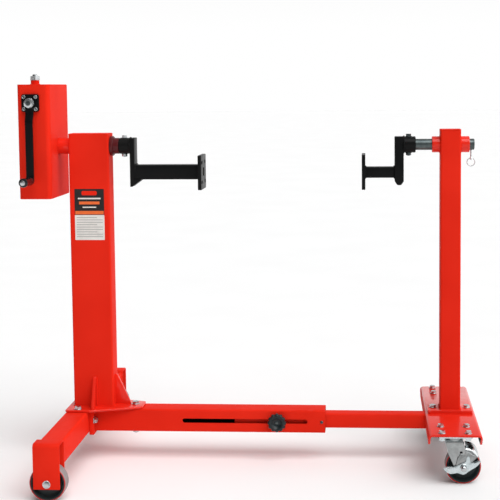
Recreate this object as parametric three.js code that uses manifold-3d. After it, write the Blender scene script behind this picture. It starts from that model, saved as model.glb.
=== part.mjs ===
// Geared engine stand: a telescoping floor frame on wheels carries two posts. A crank on the left
// gear case turns the left adaptor through a mitre pair and a worm drive; the right adaptor idles.
// Millimetres, +Z up, +X from the gear case to the idler, origin on the floor under the middle.
// Pieces are laid out from the posts' centre line; the whole stand is then moved to its middle.
import * as THREE from 'three';
import { mergeVertices } from 'three/addons/utils/BufferGeometryUtils.js';
import Module from 'manifold-3d';

const wasm = await Module();
wasm.setup();

// ---------------------------------------------------------------- driving dimensions
const GAP = 0.3; // space left between pieces that touch
const AXIS_Z = 1110; // height of the turning axis

const WHEEL = { r: 59, width: 44, coreR: 47, hubR: 15, boreR: 6.6, axleR: 6 };
const WHEEL_SIDES = 20;
const BEAM = { size: 80, wall: 5, z: 142, x0: -557, x1: 257 };
const INNER = { size: 51, wall: 4, x0: -63, x1: 768 };
const SLOT = { x0: -246, x1: 195, height: 16.4 };
const LEG = { x: -612, y: 35, width: 78, wall: 5, halfLength: 446.7 }; // reaches further back than forward
const MIDDLE = { x: -2, y: LEG.y }; // middle of the overall box, from the posts' centre line
const FORK = { width: 86, outerY: 510, depth: 63, sheet: 6, bottom: 42, top: 189, bend: 13 };
const FLANGE = { x0: -572.6, x1: -557.4, halfY: 66, z0: 94, z1: 181.6 };
const FOOT = { x0: -652, xTaper: -564, x1: -388, halfWide: 92, halfTip: 38, z0: 182.3, thick: 8 };
const BEAM_BOLT_X = -419;
const LEG_BOLT = { x: -608, y: 74 };
const POST_L = { x0: -631, x1: -490, halfY: 38, wall: 5, top: 1154 };
const GUSSET = { x: -555, thick: 11, high: 108, reach: 54 };
const TUBE = { r: 28, bore: 22.4, x0: -683, x1: -458.5, ringR: 34.5, ringX0: -489.7, ringX1: -478 };
const SHAFT_R = 19.3;
const BOLT_HOLE_R = 8.5;
const FOOT_HOLE_R = 6.4;

const CASE = { x0: -784, x1: -672, halfY: 120, z0: 934, z1: 1326, wall: 5, bend: 12, cover: 4 };
const WORM = { x: -735, y: -62, pitchR: 17, pitch: 7.854, shaftR: 8 };
const WHEEL_TEETH = 36;
const WORM_WHEEL = { halfFace: 9, hubR: 30, hubReach: 24, addendum: 1.6, dedendum: 3.2 };
const FOOTSTEP = { halfX: 26, back: 24, z0: 985, socketZ: 992, z1: 1006 }; // lower bearing of the worm
const STUB = { r: 14.5, sunk: 9, high: 14, capR: 17, capTop: 35 }; // upper bearing on the gear case
const MAIN_SHAFT = { x0: -752, x1: -426 };
const CRANK_Z = 1263;
const MITRE = { teeth: 16, r: 24, face: 10, addendum: 1.8, dedendum: 2.5 };
const CRANK_PLATE = { half: 30, r: 7, thick: 11 };
const BOSS_REACH = 14; // how far the crank bearing stands out of the gear case
const CRANK = {
  length: 264, barWidth: 26, barThick: 8, step: 10, stepTop: -36, stepBottom: -62, tail: 14,
  gripR: 15.5, gripFar: -240, gripNear: -159, spindleR: 6, nutR: 17.5, nutThick: 12,
};
const FACE_PLATE = {
  half: 60, thick: 12, z0: 958, z1: 1078, slotY: 38, slotInset: 26, slotHalfY: 13, slotHalfZ: 6.5,
};
const COLLAR_R = 28;
const UPRIGHT_TOP = 1138;
const ARM_L = {
  collarX0: -457.5, x0: -403, half: 25.5, z0: 993, z1: 1044, wall: 5, plateX: -176,
  upright: { thick: 15, z0: 968, toe: 26, toeTop: 994 },
};
const ARM_R = {
  collarX1: 573, x1: 502, half: 20, z0: 996, z1: 1034, wall: 5, plateX: 388,
  upright: { thick: 30, z0: 971, chamferX: 9, chamferTop: 984 },
};

const CHANNEL = { x: 692, y: 20, width: 176, halfLength: 310, top: 175, sheet: 7, drop: 37, bend: 12, cornerCut: 25 };
const PLATE_R = { halfX: 78, halfY: 42, z0: 175.3, thick: 12, boltX: 58.5 };
const POST_R = { x: 692, size: 70, wall: 5, top: 1162 };
const SLEEVE = { r: 28, bore: 20, x0: 629, x1: 757 };
const IDLER = { x0: 534, x1: 774, pinX: 763 };
const CASTER = {
  x: 692, y: 250, trail: 28, plateX: 112, plateY: 102, plateThick: 6, raceR: 30, crownR: 36,
  boltX: 43, boltY: 38, sheet: 5, axleR: 5,
};
const KNOB = { x: 89, r: 33, thick: 20, studR: 7.5 };

// ---------------------------------------------------------------- materials
const paint = (color, roughness, metalness) =>
  new THREE.MeshStandardMaterial({ color, roughness, metalness });
const RED = paint(0xd8201c, 0.3, 0.1);
const BLACK = paint(0x141414, 0.5, 0.2);
const DARK_STEEL = paint(0x4b5254, 0.45, 0.8);
const ZINC = paint(0xb9bcbd, 0.3, 0.9);
const BRONZE = paint(0xb08a4a, 0.35, 0.9);
const TREAD = paint(0x8f8a86, 0.7, 0);
const PLASTIC = paint(0x0e0e0e, 0.35, 0);

// ---------------------------------------------------------------- solids
function solid(geometry) {
  const bare = geometry.clone();
  bare.deleteAttribute('normal');
  bare.deleteAttribute('uv');
  const merged = mergeVertices(bare, 1e-4);
  const vertProperties = new Float32Array(merged.attributes.position.array);
  const triVerts = new Uint32Array(merged.index.array);
  return new wasm.Manifold(new wasm.Mesh({ numProp: 3, vertProperties, triVerts }));
}

function geometryOf(manifold) {
  const mesh = manifold.getMesh();
  const geometry = new THREE.BufferGeometry();
  geometry.setAttribute('position', new THREE.BufferAttribute(mesh.vertProperties, 3));
  geometry.setIndex(new THREE.BufferAttribute(mesh.triVerts, 1));
  geometry.computeVertexNormals();
  return geometry;
}

function combine(base, added, removed = []) {
  let result = solid(base);
  for (const piece of added) {
    result = result.add(solid(piece));
  }
  for (const piece of removed) {
    result = result.subtract(solid(piece));
  }
  return geometryOf(result);
}

const cut = (base, ...removed) => combine(base, [], removed);
const join = (base, ...added) => combine(base, added);

function box(x0, x1, y0, y1, z0, z1) {
  const geometry = new THREE.BoxGeometry(x1 - x0, y1 - y0, z1 - z0);
  return geometry.translate((x0 + x1) / 2, (y0 + y1) / 2, (z0 + z1) / 2);
}

// A round bar along an axis from a to b, the other two coordinates given in X, Y, Z order.
function bar(axis, a, b, u, v, radius, sides = 20) {
  const geometry = new THREE.CylinderGeometry(radius, radius, b - a, sides);
  const middle = (a + b) / 2;
  if (axis === 'x') {
    return geometry.rotateZ(-Math.PI / 2).translate(middle, u, v);
  }
  if (axis === 'y') {
    return geometry.translate(u, middle, v);
  }
  return geometry.rotateX(Math.PI / 2).translate(u, v, middle);
}

// A closed ring about the Y axis from [radius, y] corners, listed anticlockwise.
function ringAboutY(corners, sides) {
  const points = corners.map(([r, y]) => new THREE.Vector2(r, y));
  points.push(points[0].clone());
  return new THREE.LatheGeometry(points, sides);
}

function outline(corners) {
  return new THREE.Shape(corners.map(([u, v]) => new THREE.Vector2(u, v)));
}

function extrude(shape, depth, curveSegments = 4) {
  return new THREE.ExtrudeGeometry(shape, { depth, bevelEnabled: false, curveSegments });
}

// A shape drawn in X and Y, standing from z0 upwards.
const extrudeUp = (shape, z0, depth) => extrude(shape, depth).translate(0, 0, z0);

// A shape drawn in X and Z, reaching from y0 to y0 + depth.
const extrudeBack = (shape, y0, depth) =>
  extrude(shape, depth).rotateX(Math.PI / 2).translate(0, y0 + depth, 0);

// A shape drawn in Y and Z, reaching from x0 to x0 + depth.
const extrudeAcross = (shape, x0, depth) =>
  extrude(shape, depth).rotateZ(Math.PI / 2).rotateY(Math.PI / 2).translate(x0, 0, 0);

// A folded strip with round bends, open at the bottom, as an outline: half width, top and leg bottom.
function foldedStrip(half, top, bottom, sheet, bend) {
  const inner = half - sheet;
  const innerBend = bend - sheet;
  const shape = new THREE.Shape();
  shape.moveTo(-half, bottom);
  shape.lineTo(-inner, bottom);
  shape.lineTo(-inner, top - bend);
  shape.absarc(-half + bend, top - bend, innerBend, Math.PI, Math.PI / 2, true);
  shape.absarc(half - bend, top - bend, innerBend, Math.PI / 2, 0, true);
  shape.lineTo(inner, bottom);
  shape.lineTo(half, bottom);
  shape.lineTo(half, top - bend);
  shape.absarc(half - bend, top - bend, bend, 0, Math.PI / 2, false);
  shape.absarc(-half + bend, top - bend, bend, Math.PI / 2, Math.PI, false);
  return shape;
}

// A hexagon bolt along Y or Z: head at the far end, nut at the near end.
function throughBolt(axis, headEnd, nutEnd, u, v, radius) {
  const headThick = radius * 1.25;
  const nutThick = radius * 1.5;
  const toNut = Math.sign(nutEnd - headEnd);
  const span = (a, b, r, sides) => bar(axis, Math.min(a, b), Math.max(a, b), u, v, r, sides);
  const head = span(headEnd, headEnd + toNut * headThick, radius * 1.9, 6);
  const nutFace = nutEnd - toNut * radius * 0.4;
  const nut = span(nutFace - toNut * nutThick, nutFace, radius * 1.9, 6);
  return join(span(headEnd + toNut * headThick * 0.5, nutEnd, radius, 12), head, nut);
}

function polar(r, angle) {
  return [r * Math.cos(angle), r * Math.sin(angle)];
}

// A toothed outline: each tooth is a trapezium that is narrower at its tip.
function gearShape(teeth, rootR, tipR, rootShare, tipShare) {
  const corners = [];
  const step = (2 * Math.PI) / teeth;
  for (let i = 0; i < teeth; i += 1) {
    const middle = i * step;
    corners.push(polar(rootR, middle - (rootShare * step) / 2));
    corners.push(polar(tipR, middle - (tipShare * step) / 2));
    corners.push(polar(tipR, middle + (tipShare * step) / 2));
    corners.push(polar(rootR, middle + (rootShare * step) / 2));
  }
  return outline(corners);
}

// ---------------------------------------------------------------- scene graph
const stand = new THREE.Group();
stand.name = 'engine_stand';
stand.position.set(-MIDDLE.x, -MIDDLE.y, 0);

function add(name, geometry, material, parent = stand) {
  const mesh = new THREE.Mesh(geometry, material);
  mesh.name = name;
  parent.add(mesh);
  return mesh;
}

function group(x, y, z, parent = stand) {
  const holder = new THREE.Group();
  holder.position.set(x, y, z);
  parent.add(holder);
  return holder;
}

// ---------------------------------------------------------------- left base
function leftLeg() {
  const { x, y, width, wall, halfLength } = LEG;
  const half = width / 2;
  const z0 = BEAM.z - BEAM.size / 2;
  const z1 = BEAM.z + BEAM.size / 2;
  const outer = box(x - half, x + half, y - halfLength, y + halfLength, z0, z1);
  const bore = half - wall;
  const inner = box(x - bore, x + bore, y - halfLength - 1, y + halfLength + 1, z0 + wall, z1 - wall);
  const holes = [-1, 1].map((side) =>
    bar('z', z0 - 1, z1 + 1, LEG_BOLT.x, side * LEG_BOLT.y, BOLT_HOLE_R, 12));
  add('left_leg', cut(outer, inner, ...holes), RED);
}

function fork(name, side) {
  const { width, outerY, depth, sheet, bottom, top, bend } = FORK;
  const strip = foldedStrip(depth / 2, top, bottom, sheet, bend);
  const middle = outerY - depth / 2;
  const folded = extrudeAcross(strip, -width / 2, width);
  const axleHole = bar('y', -depth, depth, 0, WHEEL.r, WHEEL.boreR, 12);
  const holder = group(LEG.x, LEG.y + side * middle, 0);
  add(name, cut(folded, axleHole), RED, holder);
  return holder;
}

// Hub, web and rim of a wheel that turns about Y.
function wheelCore() {
  const { width, coreR, hubR, boreR } = WHEEL;
  const hub = width / 2 + 2;
  const rim = width / 2 - 1;
  const web = 7;
  return ringAboutY([
    [boreR, -hub], [hubR, -hub], [hubR + 3, -web], [coreR - 8, -web], [coreR, -rim],
    [coreR, rim], [coreR - 8, web], [hubR + 3, web], [hubR, hub], [boreR, hub],
  ], WHEEL_SIDES);
}

function wheelTread() {
  const { width, r, coreR } = WHEEL;
  const half = width / 2;
  const bore = coreR + GAP;
  return ringAboutY([
    [bore, -half], [r - 4, -half], [r, -half + 6], [r, half - 6], [r - 4, half], [bore, half],
  ], WHEEL_SIDES);
}

function rigidWheel(side) {
  const end = side < 0 ? 'front' : 'rear';
  const holder = fork(`${end}_fork`, side);
  add(`${end}_wheel_core`, wheelCore().translate(0, 0, WHEEL.r), BLACK, holder);
  add(`${end}_wheel_tread`, wheelTread().translate(0, 0, WHEEL.r), TREAD, holder);
  const reach = FORK.depth / 2 + GAP;
  const bolt = throughBolt('y', -reach - 7.5, reach + 12, 0, WHEEL.r, WHEEL.axleR);
  add(`${end}_axle`, side < 0 ? bolt : bolt.rotateZ(Math.PI), ZINC, holder);
}

function outerBeam() {
  const { size, wall, z, x0, x1 } = BEAM;
  const half = size / 2;
  const outer = box(x0, x1, -half, half, z - half, z + half);
  const inner = box(x0 - 1, x1 + 1, -half + wall, half - wall, z - half + wall, z + half - wall);
  const r = SLOT.height / 2;
  const slot = new THREE.Shape();
  slot.absarc(SLOT.x0 + r, z, r, Math.PI / 2, (3 * Math.PI) / 2, false);
  slot.absarc(SLOT.x1 - r, z, r, -Math.PI / 2, Math.PI / 2, false);
  const boltHole = bar('z', z - half - 1, z + half + 1, BEAM_BOLT_X, 0, BOLT_HOLE_R, 12);
  add('outer_beam', cut(outer, inner, extrudeBack(slot, -half - 1, wall + 2), boltHole), RED);
}

function beamFlange() {
  const { x0, x1, halfY, z0, z1 } = FLANGE;
  add('beam_flange', box(x0, x1, -halfY, halfY, z0, z1), RED);
}

function guideSleeve() {
  const outer = BEAM.size / 2 - BEAM.wall - GAP;
  const inner = INNER.size / 2 + 0.5;
  const [x0, x1] = [BEAM.x1 - 42, BEAM.x1 - 2];
  const z = BEAM.z;
  const block = box(x0, x1, -outer, outer, z - outer, z + outer);
  add('guide_sleeve', cut(block, box(x0 - 1, x1 + 1, -inner, inner, z - inner, z + inner)), PLASTIC);
}

function postFoot() {
  const { x0, xTaper, x1, halfWide, halfTip, z0, thick } = FOOT;
  const { x, thick: sheet, high, reach } = GUSSET;
  const top = z0 + thick;
  const plate = extrudeUp(outline([
    [x0, -halfWide], [xTaper, -halfWide], [x1 - 12, -halfTip - 6], [x1, -halfTip + 6],
    [x1, halfTip - 6], [x1 - 12, halfTip + 6], [xTaper, halfWide], [x0, halfWide],
  ]), z0, thick);
  const cross = outline([
    [POST_L.halfY + GAP, top - 1], [halfWide - 8, top - 1], [halfWide - 8, top + 6],
    [POST_L.halfY + 8, top + high], [POST_L.halfY + GAP, top + high],
  ]);
  const frontGusset = extrudeAcross(cross, x - sheet / 2, sheet);
  const side = outline([
    [POST_L.x1 + GAP, top - 1], [POST_L.x1 + reach, top - 1], [POST_L.x1 + reach, top + 8],
    [POST_L.x1 + 8, top + high], [POST_L.x1 + GAP, top + high],
  ]);
  const sideGusset = extrudeBack(side, -sheet / 2, sheet);
  const rearGusset = frontGusset.clone().rotateZ(Math.PI).translate(2 * x, 0, 0);
  const holes = [[LEG_BOLT.x, -LEG_BOLT.y], [LEG_BOLT.x, LEG_BOLT.y], [BEAM_BOLT_X, 0]].map(([u, v]) =>
    bar('z', z0 - 2, top + 2, u, v, BOLT_HOLE_R, 12));
  add('post_foot', combine(plate, [frontGusset, rearGusset, sideGusset], holes), RED);
}

function baseBolts() {
  const head = FOOT.z0 + FOOT.thick + GAP + 10;
  const under = BEAM.z - BEAM.size / 2 - GAP - 15.2;
  add('beam_bolt', throughBolt('z', head, under, BEAM_BOLT_X, 0, 8), ZINC);
  add('leg_bolt_front', throughBolt('z', head, under, LEG_BOLT.x, -LEG_BOLT.y, 8), ZINC);
  add('leg_bolt_rear', throughBolt('z', head, under, LEG_BOLT.x, LEG_BOLT.y, 8), ZINC);
}

function leftPost() {
  const { x0, x1, halfY, wall, top } = POST_L;
  const z0 = FOOT.z0 + FOOT.thick + GAP;
  const outer = box(x0, x1, -halfY, halfY, z0, top);
  const inner = box(x0 + wall, x1 - wall, -halfY + wall, halfY - wall, z0 - 1, top - wall);
  add('left_post', cut(outer, inner, bar('x', x0 - 1, x1 + 1, 0, AXIS_Z, TUBE.r + GAP)), RED);
}

// ---------------------------------------------------------------- turning gear
function bearingTube() {
  const { r, bore, x0, x1, ringR, ringX0, ringX1 } = TUBE;
  const ring = bar('x', ringX0, ringX1, 0, AXIS_Z, ringR, 24);
  const hole = bar('x', x0 - 1, x1 + 1, 0, AXIS_Z, bore);
  add('bearing_tube', combine(bar('x', x0, x1, 0, AXIS_Z, r), [ring], [hole]), RED);
  const bush = (name, a, b) => add(
    name,
    cut(bar('x', a, b, 0, AXIS_Z, bore - GAP), bar('x', a - 1, b + 1, 0, AXIS_Z, SHAFT_R + 0.5)),
    BRONZE,
  );
  bush('bush_left', x0 + 2, x0 + 30);
  bush('bush_right', x1 - 32, x1 - 2);
}

function gearCase() {
  const { x0, x1, halfY, z0, z1, wall, bend, cover } = CASE;
  const back = halfY - cover - GAP;
  const shell = (inset) => {
    const r = Math.max(bend - inset, 2);
    const [left, right, front] = [x0 + inset, x1 - inset, -halfY + inset];
    const shape = new THREE.Shape();
    shape.moveTo(left, back + inset);
    shape.lineTo(left, front + r);
    shape.absarc(left + r, front + r, r, Math.PI, (3 * Math.PI) / 2, false);
    shape.absarc(right - r, front + r, r, -Math.PI / 2, 0, false);
    shape.lineTo(right, back + inset);
    return extrudeUp(shape, z0 + inset, z1 - z0 - 2 * inset);
  };
  const holes = [
    bar('x', x1 - 10, x1 + 10, 0, AXIS_Z, TUBE.r + GAP),
    bar('y', -halfY - 10, -halfY + 10, WORM.x, CRANK_Z, 9),
    bar('z', z1 - 10, z1 + 10, WORM.x, WORM.y, STUB.r + GAP),
  ];
  add('gear_case', cut(shell(0), shell(wall), ...holes), RED);
  add('case_cover', box(x0, x1, halfY - cover, halfY, z0, z1), RED);
}

function crankFlange() {
  const y = -CASE.halfY - GAP;
  const { half, r, thick } = CRANK_PLATE;
  const plate = new THREE.Shape();
  plate.absarc(half - r, half - r, r, 0, Math.PI / 2, false);
  plate.absarc(-half + r, half - r, r, Math.PI / 2, Math.PI, false);
  plate.absarc(-half + r, -half + r, r, Math.PI, (3 * Math.PI) / 2, false);
  plate.absarc(half - r, -half + r, r, -Math.PI / 2, 0, false);
  const body = extrudeBack(plate, y - thick, thick).translate(WORM.x, 0, CRANK_Z);
  const boss = bar('y', y - BOSS_REACH, y - 5, WORM.x, CRANK_Z, 16);
  const bore = bar('y', y - 20, y + 5, WORM.x, CRANK_Z, WORM.shaftR + 0.6);
  add('crank_flange', combine(body, [boss], [bore]), BLACK);
}

function wormBearings() {
  const { x, y, shaftR } = WORM;
  const top = bar('z', CASE.z1 - STUB.sunk, CASE.z1 + STUB.high, x, y, STUB.r);
  add('worm_bearing', cut(top, bar('z', CASE.z1 - 20, CASE.z1 + 20, x, y, shaftR + 0.6)), RED);
  add('bearing_cap', bar('z', CASE.z1 + STUB.high + GAP, CASE.z1 + STUB.capTop, x, y, STUB.capR, 6), ZINC);
  const { halfX, back, z0, socketZ, z1 } = FOOTSTEP;
  const step = box(x - halfX, x + halfX, -CASE.halfY + CASE.wall + GAP, y + back, z0, z1);
  add('worm_footstep', cut(step, bar('z', socketZ, z1 + 4, x, y, shaftR + 0.6)), DARK_STEEL);
}

// Threaded bar: the radius of a finely divided cylinder rises and falls along a helix.
function wormThread(length) {
  const { pitchR, pitch } = WORM;
  const rows = Math.round((length / pitch) * 4);
  const geometry = new THREE.CylinderGeometry(pitchR, pitchR, length, 12, rows);
  const bare = geometry.clone();
  bare.deleteAttribute('normal');
  bare.deleteAttribute('uv');
  const merged = mergeVertices(bare, 1e-4);
  const position = merged.attributes.position;
  for (let i = 0; i < position.count; i += 1) {
    const [u, h, v] = [position.getX(i), position.getY(i), position.getZ(i)];
    const reach = Math.hypot(u, v);
    const turn = Math.atan2(u, v) / (2 * Math.PI);
    const phase = h / pitch - turn;
    const crest = Math.cos(2 * Math.PI * phase);
    const inside = Math.abs(h) < length / 2 - 0.1;
    const radius = pitchR - 1 + (inside ? 2.6 * Math.max(-0.8, Math.min(0.6, crest * 1.2 - 0.25)) : -2);
    if (reach > 1) {
      position.setXYZ(i, (u / reach) * radius, h, (v / reach) * radius);
    }
  }
  return merged.rotateX(Math.PI / 2);
}

function wormShaft() {
  const { x, y, shaftR } = WORM;
  const shaft = bar('z', FOOTSTEP.socketZ + 1, CASE.z1 + 12, x, y, shaftR, 20);
  const thread = wormThread(48).translate(x, y, AXIS_Z);
  add('worm_shaft', join(shaft, thread), DARK_STEEL);
}

// Mitre gear about +Z with its apex at the origin and its back face at z = -r.
function mitreGear(phase, boreR) {
  const { teeth, r, face, addendum, dedendum } = MITRE;
  const shape = gearShape(teeth, r - dedendum, r + addendum, 0.5, 0.28);
  const blank = extrude(shape, face);
  const position = blank.attributes.position;
  for (let i = 0; i < position.count; i += 1) {
    const depth = position.getZ(i);
    const shrink = 1 - depth / r;
    position.setXYZ(i, position.getX(i) * shrink, position.getY(i) * shrink, depth - r);
  }
  blank.rotateZ(phase);
  const hub = bar('z', -r - 8, -r + 1, 0, 0, 14);
  return combine(blank, [hub], [bar('z', -r - 20, 0, 0, 0, boreR, 20)]);
}

function mitrePair() {
  const halfTooth = Math.PI / MITRE.teeth;
  const apex = group(WORM.x, WORM.y, CRANK_Z);
  add('worm_mitre', mitreGear(halfTooth, WORM.shaftR + GAP), DARK_STEEL, apex);
  const driver = mitreGear(0, WORM.shaftR + GAP).rotateX(-Math.PI / 2);
  add('crank_mitre', driver, DARK_STEEL, apex);
}

function mainShaft() {
  add('main_shaft', bar('x', MAIN_SHAFT.x0, MAIN_SHAFT.x1, 0, AXIS_Z, SHAFT_R), DARK_STEEL);
  const { halfFace, hubR, hubReach, addendum, dedendum } = WORM_WHEEL;
  const pitchR = (WHEEL_TEETH * WORM.pitch) / (2 * Math.PI);
  const shape = gearShape(WHEEL_TEETH, pitchR - dedendum, pitchR + addendum, 0.5, 0.24);
  const blank = extrudeAcross(shape, WORM.x - halfFace, 2 * halfFace).translate(0, 0, AXIS_Z);
  const hub = bar('x', WORM.x - halfFace, WORM.x + hubReach, 0, AXIS_Z, hubR);
  const bore = bar('x', WORM.x - 30, WORM.x + 30, 0, AXIS_Z, SHAFT_R + GAP);
  add('worm_wheel', combine(blank, [hub], [bore]), BRONZE);
}

// ---------------------------------------------------------------- crank
function crank() {
  const { length, barWidth, barThick, step, stepTop, stepBottom, tail } = CRANK;
  const { gripR, gripFar, gripNear, spindleR, nutR, nutThick } = CRANK;
  const holder = group(WORM.x, 0, CRANK_Z);
  const back = -CASE.halfY - 2 * GAP - BOSS_REACH;
  const front = back - barThick;
  const nutBack = front - GAP;
  const inner = WORM.y - MITRE.r + MITRE.face - 1;
  const shank = bar('y', nutBack - 1, inner, 0, 0, WORM.shaftR);
  const nut = bar('y', nutBack - nutThick, nutBack, 0, 0, nutR, 6);
  add('crank_shaft', join(shank, nut), ZINC, holder);

  const side = outline([
    [back, barWidth / 2], [front, barWidth / 2], [front, stepTop], [front - step, stepBottom],
    [front - step, -length - tail], [back - step, -length - tail], [back - step, stepBottom], [back, stepTop],
  ]);
  const band = extrudeAcross(side, -barWidth / 2, barWidth);
  const spindle = bar('y', gripFar + 2, back - step - 1, 0, -length, spindleR, 12);
  const head = bar('y', gripFar, gripFar + 5, 0, -length, spindleR + 4, 12);
  const bore = bar('y', front - 1, back + 1, 0, 0, WORM.shaftR + GAP);
  add('crank_arm', combine(band, [spindle, head], [bore]), BLACK, holder);

  const gripBore = spindleR + 0.6;
  const grip = ringAboutY([
    [gripBore, gripFar + 6], [gripR - 3, gripFar + 6], [gripR, gripFar + 10],
    [gripR, gripNear - 6], [gripR - 2, gripNear], [gripBore, gripNear],
  ], 16);
  add('crank_grip', grip.translate(0, 0, -length), PLASTIC, holder);
}

// ---------------------------------------------------------------- engine adaptors
// Slotted face plate that an engine bolts to, standing across X.
function facePlate(x0) {
  const { half, thick, z0, z1, slotY, slotInset, slotHalfY, slotHalfZ } = FACE_PLATE;
  const plate = box(x0, x0 + thick, -half, half, z0, z1);
  const slots = [];
  for (const y of [-slotY, slotY]) {
    for (const z of [z0 + slotInset, z1 - slotInset]) {
      const [back, front] = [x0 - 1, x0 + thick + 1];
      slots.push(box(back, front, y - slotHalfY, y + slotHalfY, z - slotHalfZ, z + slotHalfZ));
    }
  }
  return cut(plate, ...slots);
}

// Square tube arm from an upright to a face plate, with the tube's end left open through the plate.
function adaptorArm(x0, x1, plateX, { half, z0, z1, wall }) {
  const hollow = half - wall;
  const vent = box(plateX - 6, plateX + FACE_PLATE.thick + 6, -hollow, hollow, z0 + wall, z1 - wall);
  const inside = box(x0 + wall, x1 - wall, -hollow, hollow, z0 + wall, z1 - wall);
  return { pieces: [box(x0, x1, -half, half, z0, z1), facePlate(plateX)], holes: [vent, inside] };
}

function leftAdaptor() {
  const { collarX0, x0, plateX, upright: { thick, z0, toe, toeTop } } = ARM_L;
  const [left, right] = [x0 - thick, x0 + 1];
  const collar = bar('x', collarX0, left + 1, 0, AXIS_Z, COLLAR_R);
  const upright = extrudeBack(outline([
    [left, z0], [left + thick / 2 - 0.5, z0], [right + toe, toeTop], [right, toeTop], [right, UPRIGHT_TOP],
    [left, UPRIGHT_TOP],
  ]), -COLLAR_R, 2 * COLLAR_R);
  const arm = adaptorArm(x0, plateX + 1, plateX, ARM_L);
  const bore = bar('x', collarX0 - 1, left - 1, 0, AXIS_Z, SHAFT_R + GAP);
  add('left_adaptor', combine(collar, [upright, ...arm.pieces], [...arm.holes, bore]), BLACK);
}

function rightAdaptor() {
  const { collarX1, x1, plateX, upright: { thick, z0, chamferX, chamferTop } } = ARM_R;
  const [left, right] = [x1 - 1, x1 + thick];
  const collar = bar('x', right - 1, collarX1, 0, AXIS_Z, COLLAR_R);
  const upright = extrudeBack(outline([
    [left, chamferTop], [left + chamferX, z0], [right - chamferX, z0], [right, chamferTop],
    [right, UPRIGHT_TOP], [left, UPRIGHT_TOP],
  ]), 2 - COLLAR_R, 2 * (COLLAR_R - 2));
  const arm = adaptorArm(plateX + FACE_PLATE.thick - 1, x1, plateX, ARM_R);
  const bore = bar('x', right + 1, collarX1 + 1, 0, AXIS_Z, SHAFT_R + GAP);
  add('right_adaptor', combine(collar, [upright, ...arm.pieces], [...arm.holes, bore]), BLACK);
}

// ---------------------------------------------------------------- right side
function innerTube() {
  const half = INNER.size / 2;
  const hole = half - INNER.wall;
  const z = BEAM.z;
  const outer = box(INNER.x0, INNER.x1, -half, half, z - half, z + half);
  const inner = box(INNER.x0 - 1, INNER.x1 + 1, -hole, hole, z - hole, z + hole);
  const tapped = bar('y', -half - 1, -hole + 1, KNOB.x, z, KNOB.studR + 0.9, 12);
  const footHoles = [-1, 1].map((side) =>
    bar('z', z - half - 1, z + half + 1, CHANNEL.x + side * PLATE_R.boltX, 0, FOOT_HOLE_R, 12));
  add('inner_tube', cut(outer, inner, tapped, ...footHoles), RED);
}

function rightChannel() {
  const { x, y, width, halfLength, top, sheet, drop, bend, cornerCut } = CHANNEL;
  const strip = foldedStrip(width / 2, top, top - drop, sheet, bend);
  const folded = extrude(strip, 2 * halfLength).rotateX(Math.PI / 2).translate(x, y + halfLength, 0);
  const half = INNER.size / 2 + 0.5;
  const notch = box(x - width / 2 - 1, x - width / 2 + bend + 1, -half, half, top - 2 * drop, top - sheet);
  const corner = outline([
    [halfLength + 1, top - drop - 1], [halfLength - cornerCut, top - drop - 1], [halfLength + 1, top - bend + 4],
  ]);
  const endCut = extrudeAcross(corner, x - width, 2 * width);
  const rearCut = endCut.clone().translate(0, y, 0);
  const frontCut = endCut.rotateZ(Math.PI).translate(2 * x, y, 0);
  const bolts = [-1, 1].map((side) =>
    bar('z', top - 15, top + 5, x + side * PLATE_R.boltX, 0, FOOT_HOLE_R, 12));
  add('right_channel', cut(folded, notch, frontCut, rearCut, ...bolts), RED);
}

function rightFoot() {
  const { halfX, halfY, z0, thick, boltX } = PLATE_R;
  const { x } = POST_R;
  const plate = box(x - halfX, x + halfX, -halfY, halfY, z0, z0 + thick);
  const holes = [-1, 1].map((side) => bar('z', z0 - 1, z0 + thick + 1, x + side * boltX, 0, FOOT_HOLE_R, 12));
  add('foot_plate', cut(plate, ...holes), RED);
  for (const [name, side] of [['foot_bolt_inner', -1], ['foot_bolt_outer', 1]]) {
    const under = BEAM.z - INNER.size / 2 - GAP - 11.4;
    const head = z0 + thick + GAP + 7.5;
    add(name, throughBolt('z', head, under, x + side * boltX, 0, 6), ZINC);
  }
}

function rightPost() {
  const { x, size, wall, top } = POST_R;
  const half = size / 2;
  const z0 = PLATE_R.z0 + PLATE_R.thick + GAP;
  const outer = box(x - half, x + half, -half, half, z0, top);
  const inner = box(x - half + wall, x + half - wall, -half + wall, half - wall, z0 - 1, top - wall);
  add('right_post', cut(outer, inner, bar('x', x - half - 1, x + half + 1, 0, AXIS_Z, SLEEVE.r + GAP)), RED);
  const { r, bore, x0, x1 } = SLEEVE;
  add('idler_sleeve', cut(bar('x', x0, x1, 0, AXIS_Z, r), bar('x', x0 - 1, x1 + 1, 0, AXIS_Z, bore)), RED);
}

function idler() {
  const { x0, x1, pinX } = IDLER;
  const shaft = bar('x', x0, x1, 0, AXIS_Z, SHAFT_R);
  add('idler_shaft', cut(shaft, bar('z', AXIS_Z - 40, AXIS_Z + 40, pinX, 0, 4.6, 12)), DARK_STEEL);
  const low = AXIS_Z - 54;
  const pin = join(bar('z', low, AXIS_Z + SHAFT_R, pinX, 0, 4, 12), bar('z', low, low + 12, pinX, 0, 5, 12));
  const eyeZ = low + 5.5;
  add('retaining_pin', cut(pin, bar('x', pinX - 10, pinX + 10, 0, eyeZ, 2.9, 12)), ZINC);
  const ringR = 13.5;
  const ring = new THREE.TorusGeometry(ringR, 1.5, 6, 16).rotateX(Math.PI / 2);
  add('pull_ring', ring.translate(pinX, 0, eyeZ - ringR + 0.4), ZINC);
}

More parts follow.
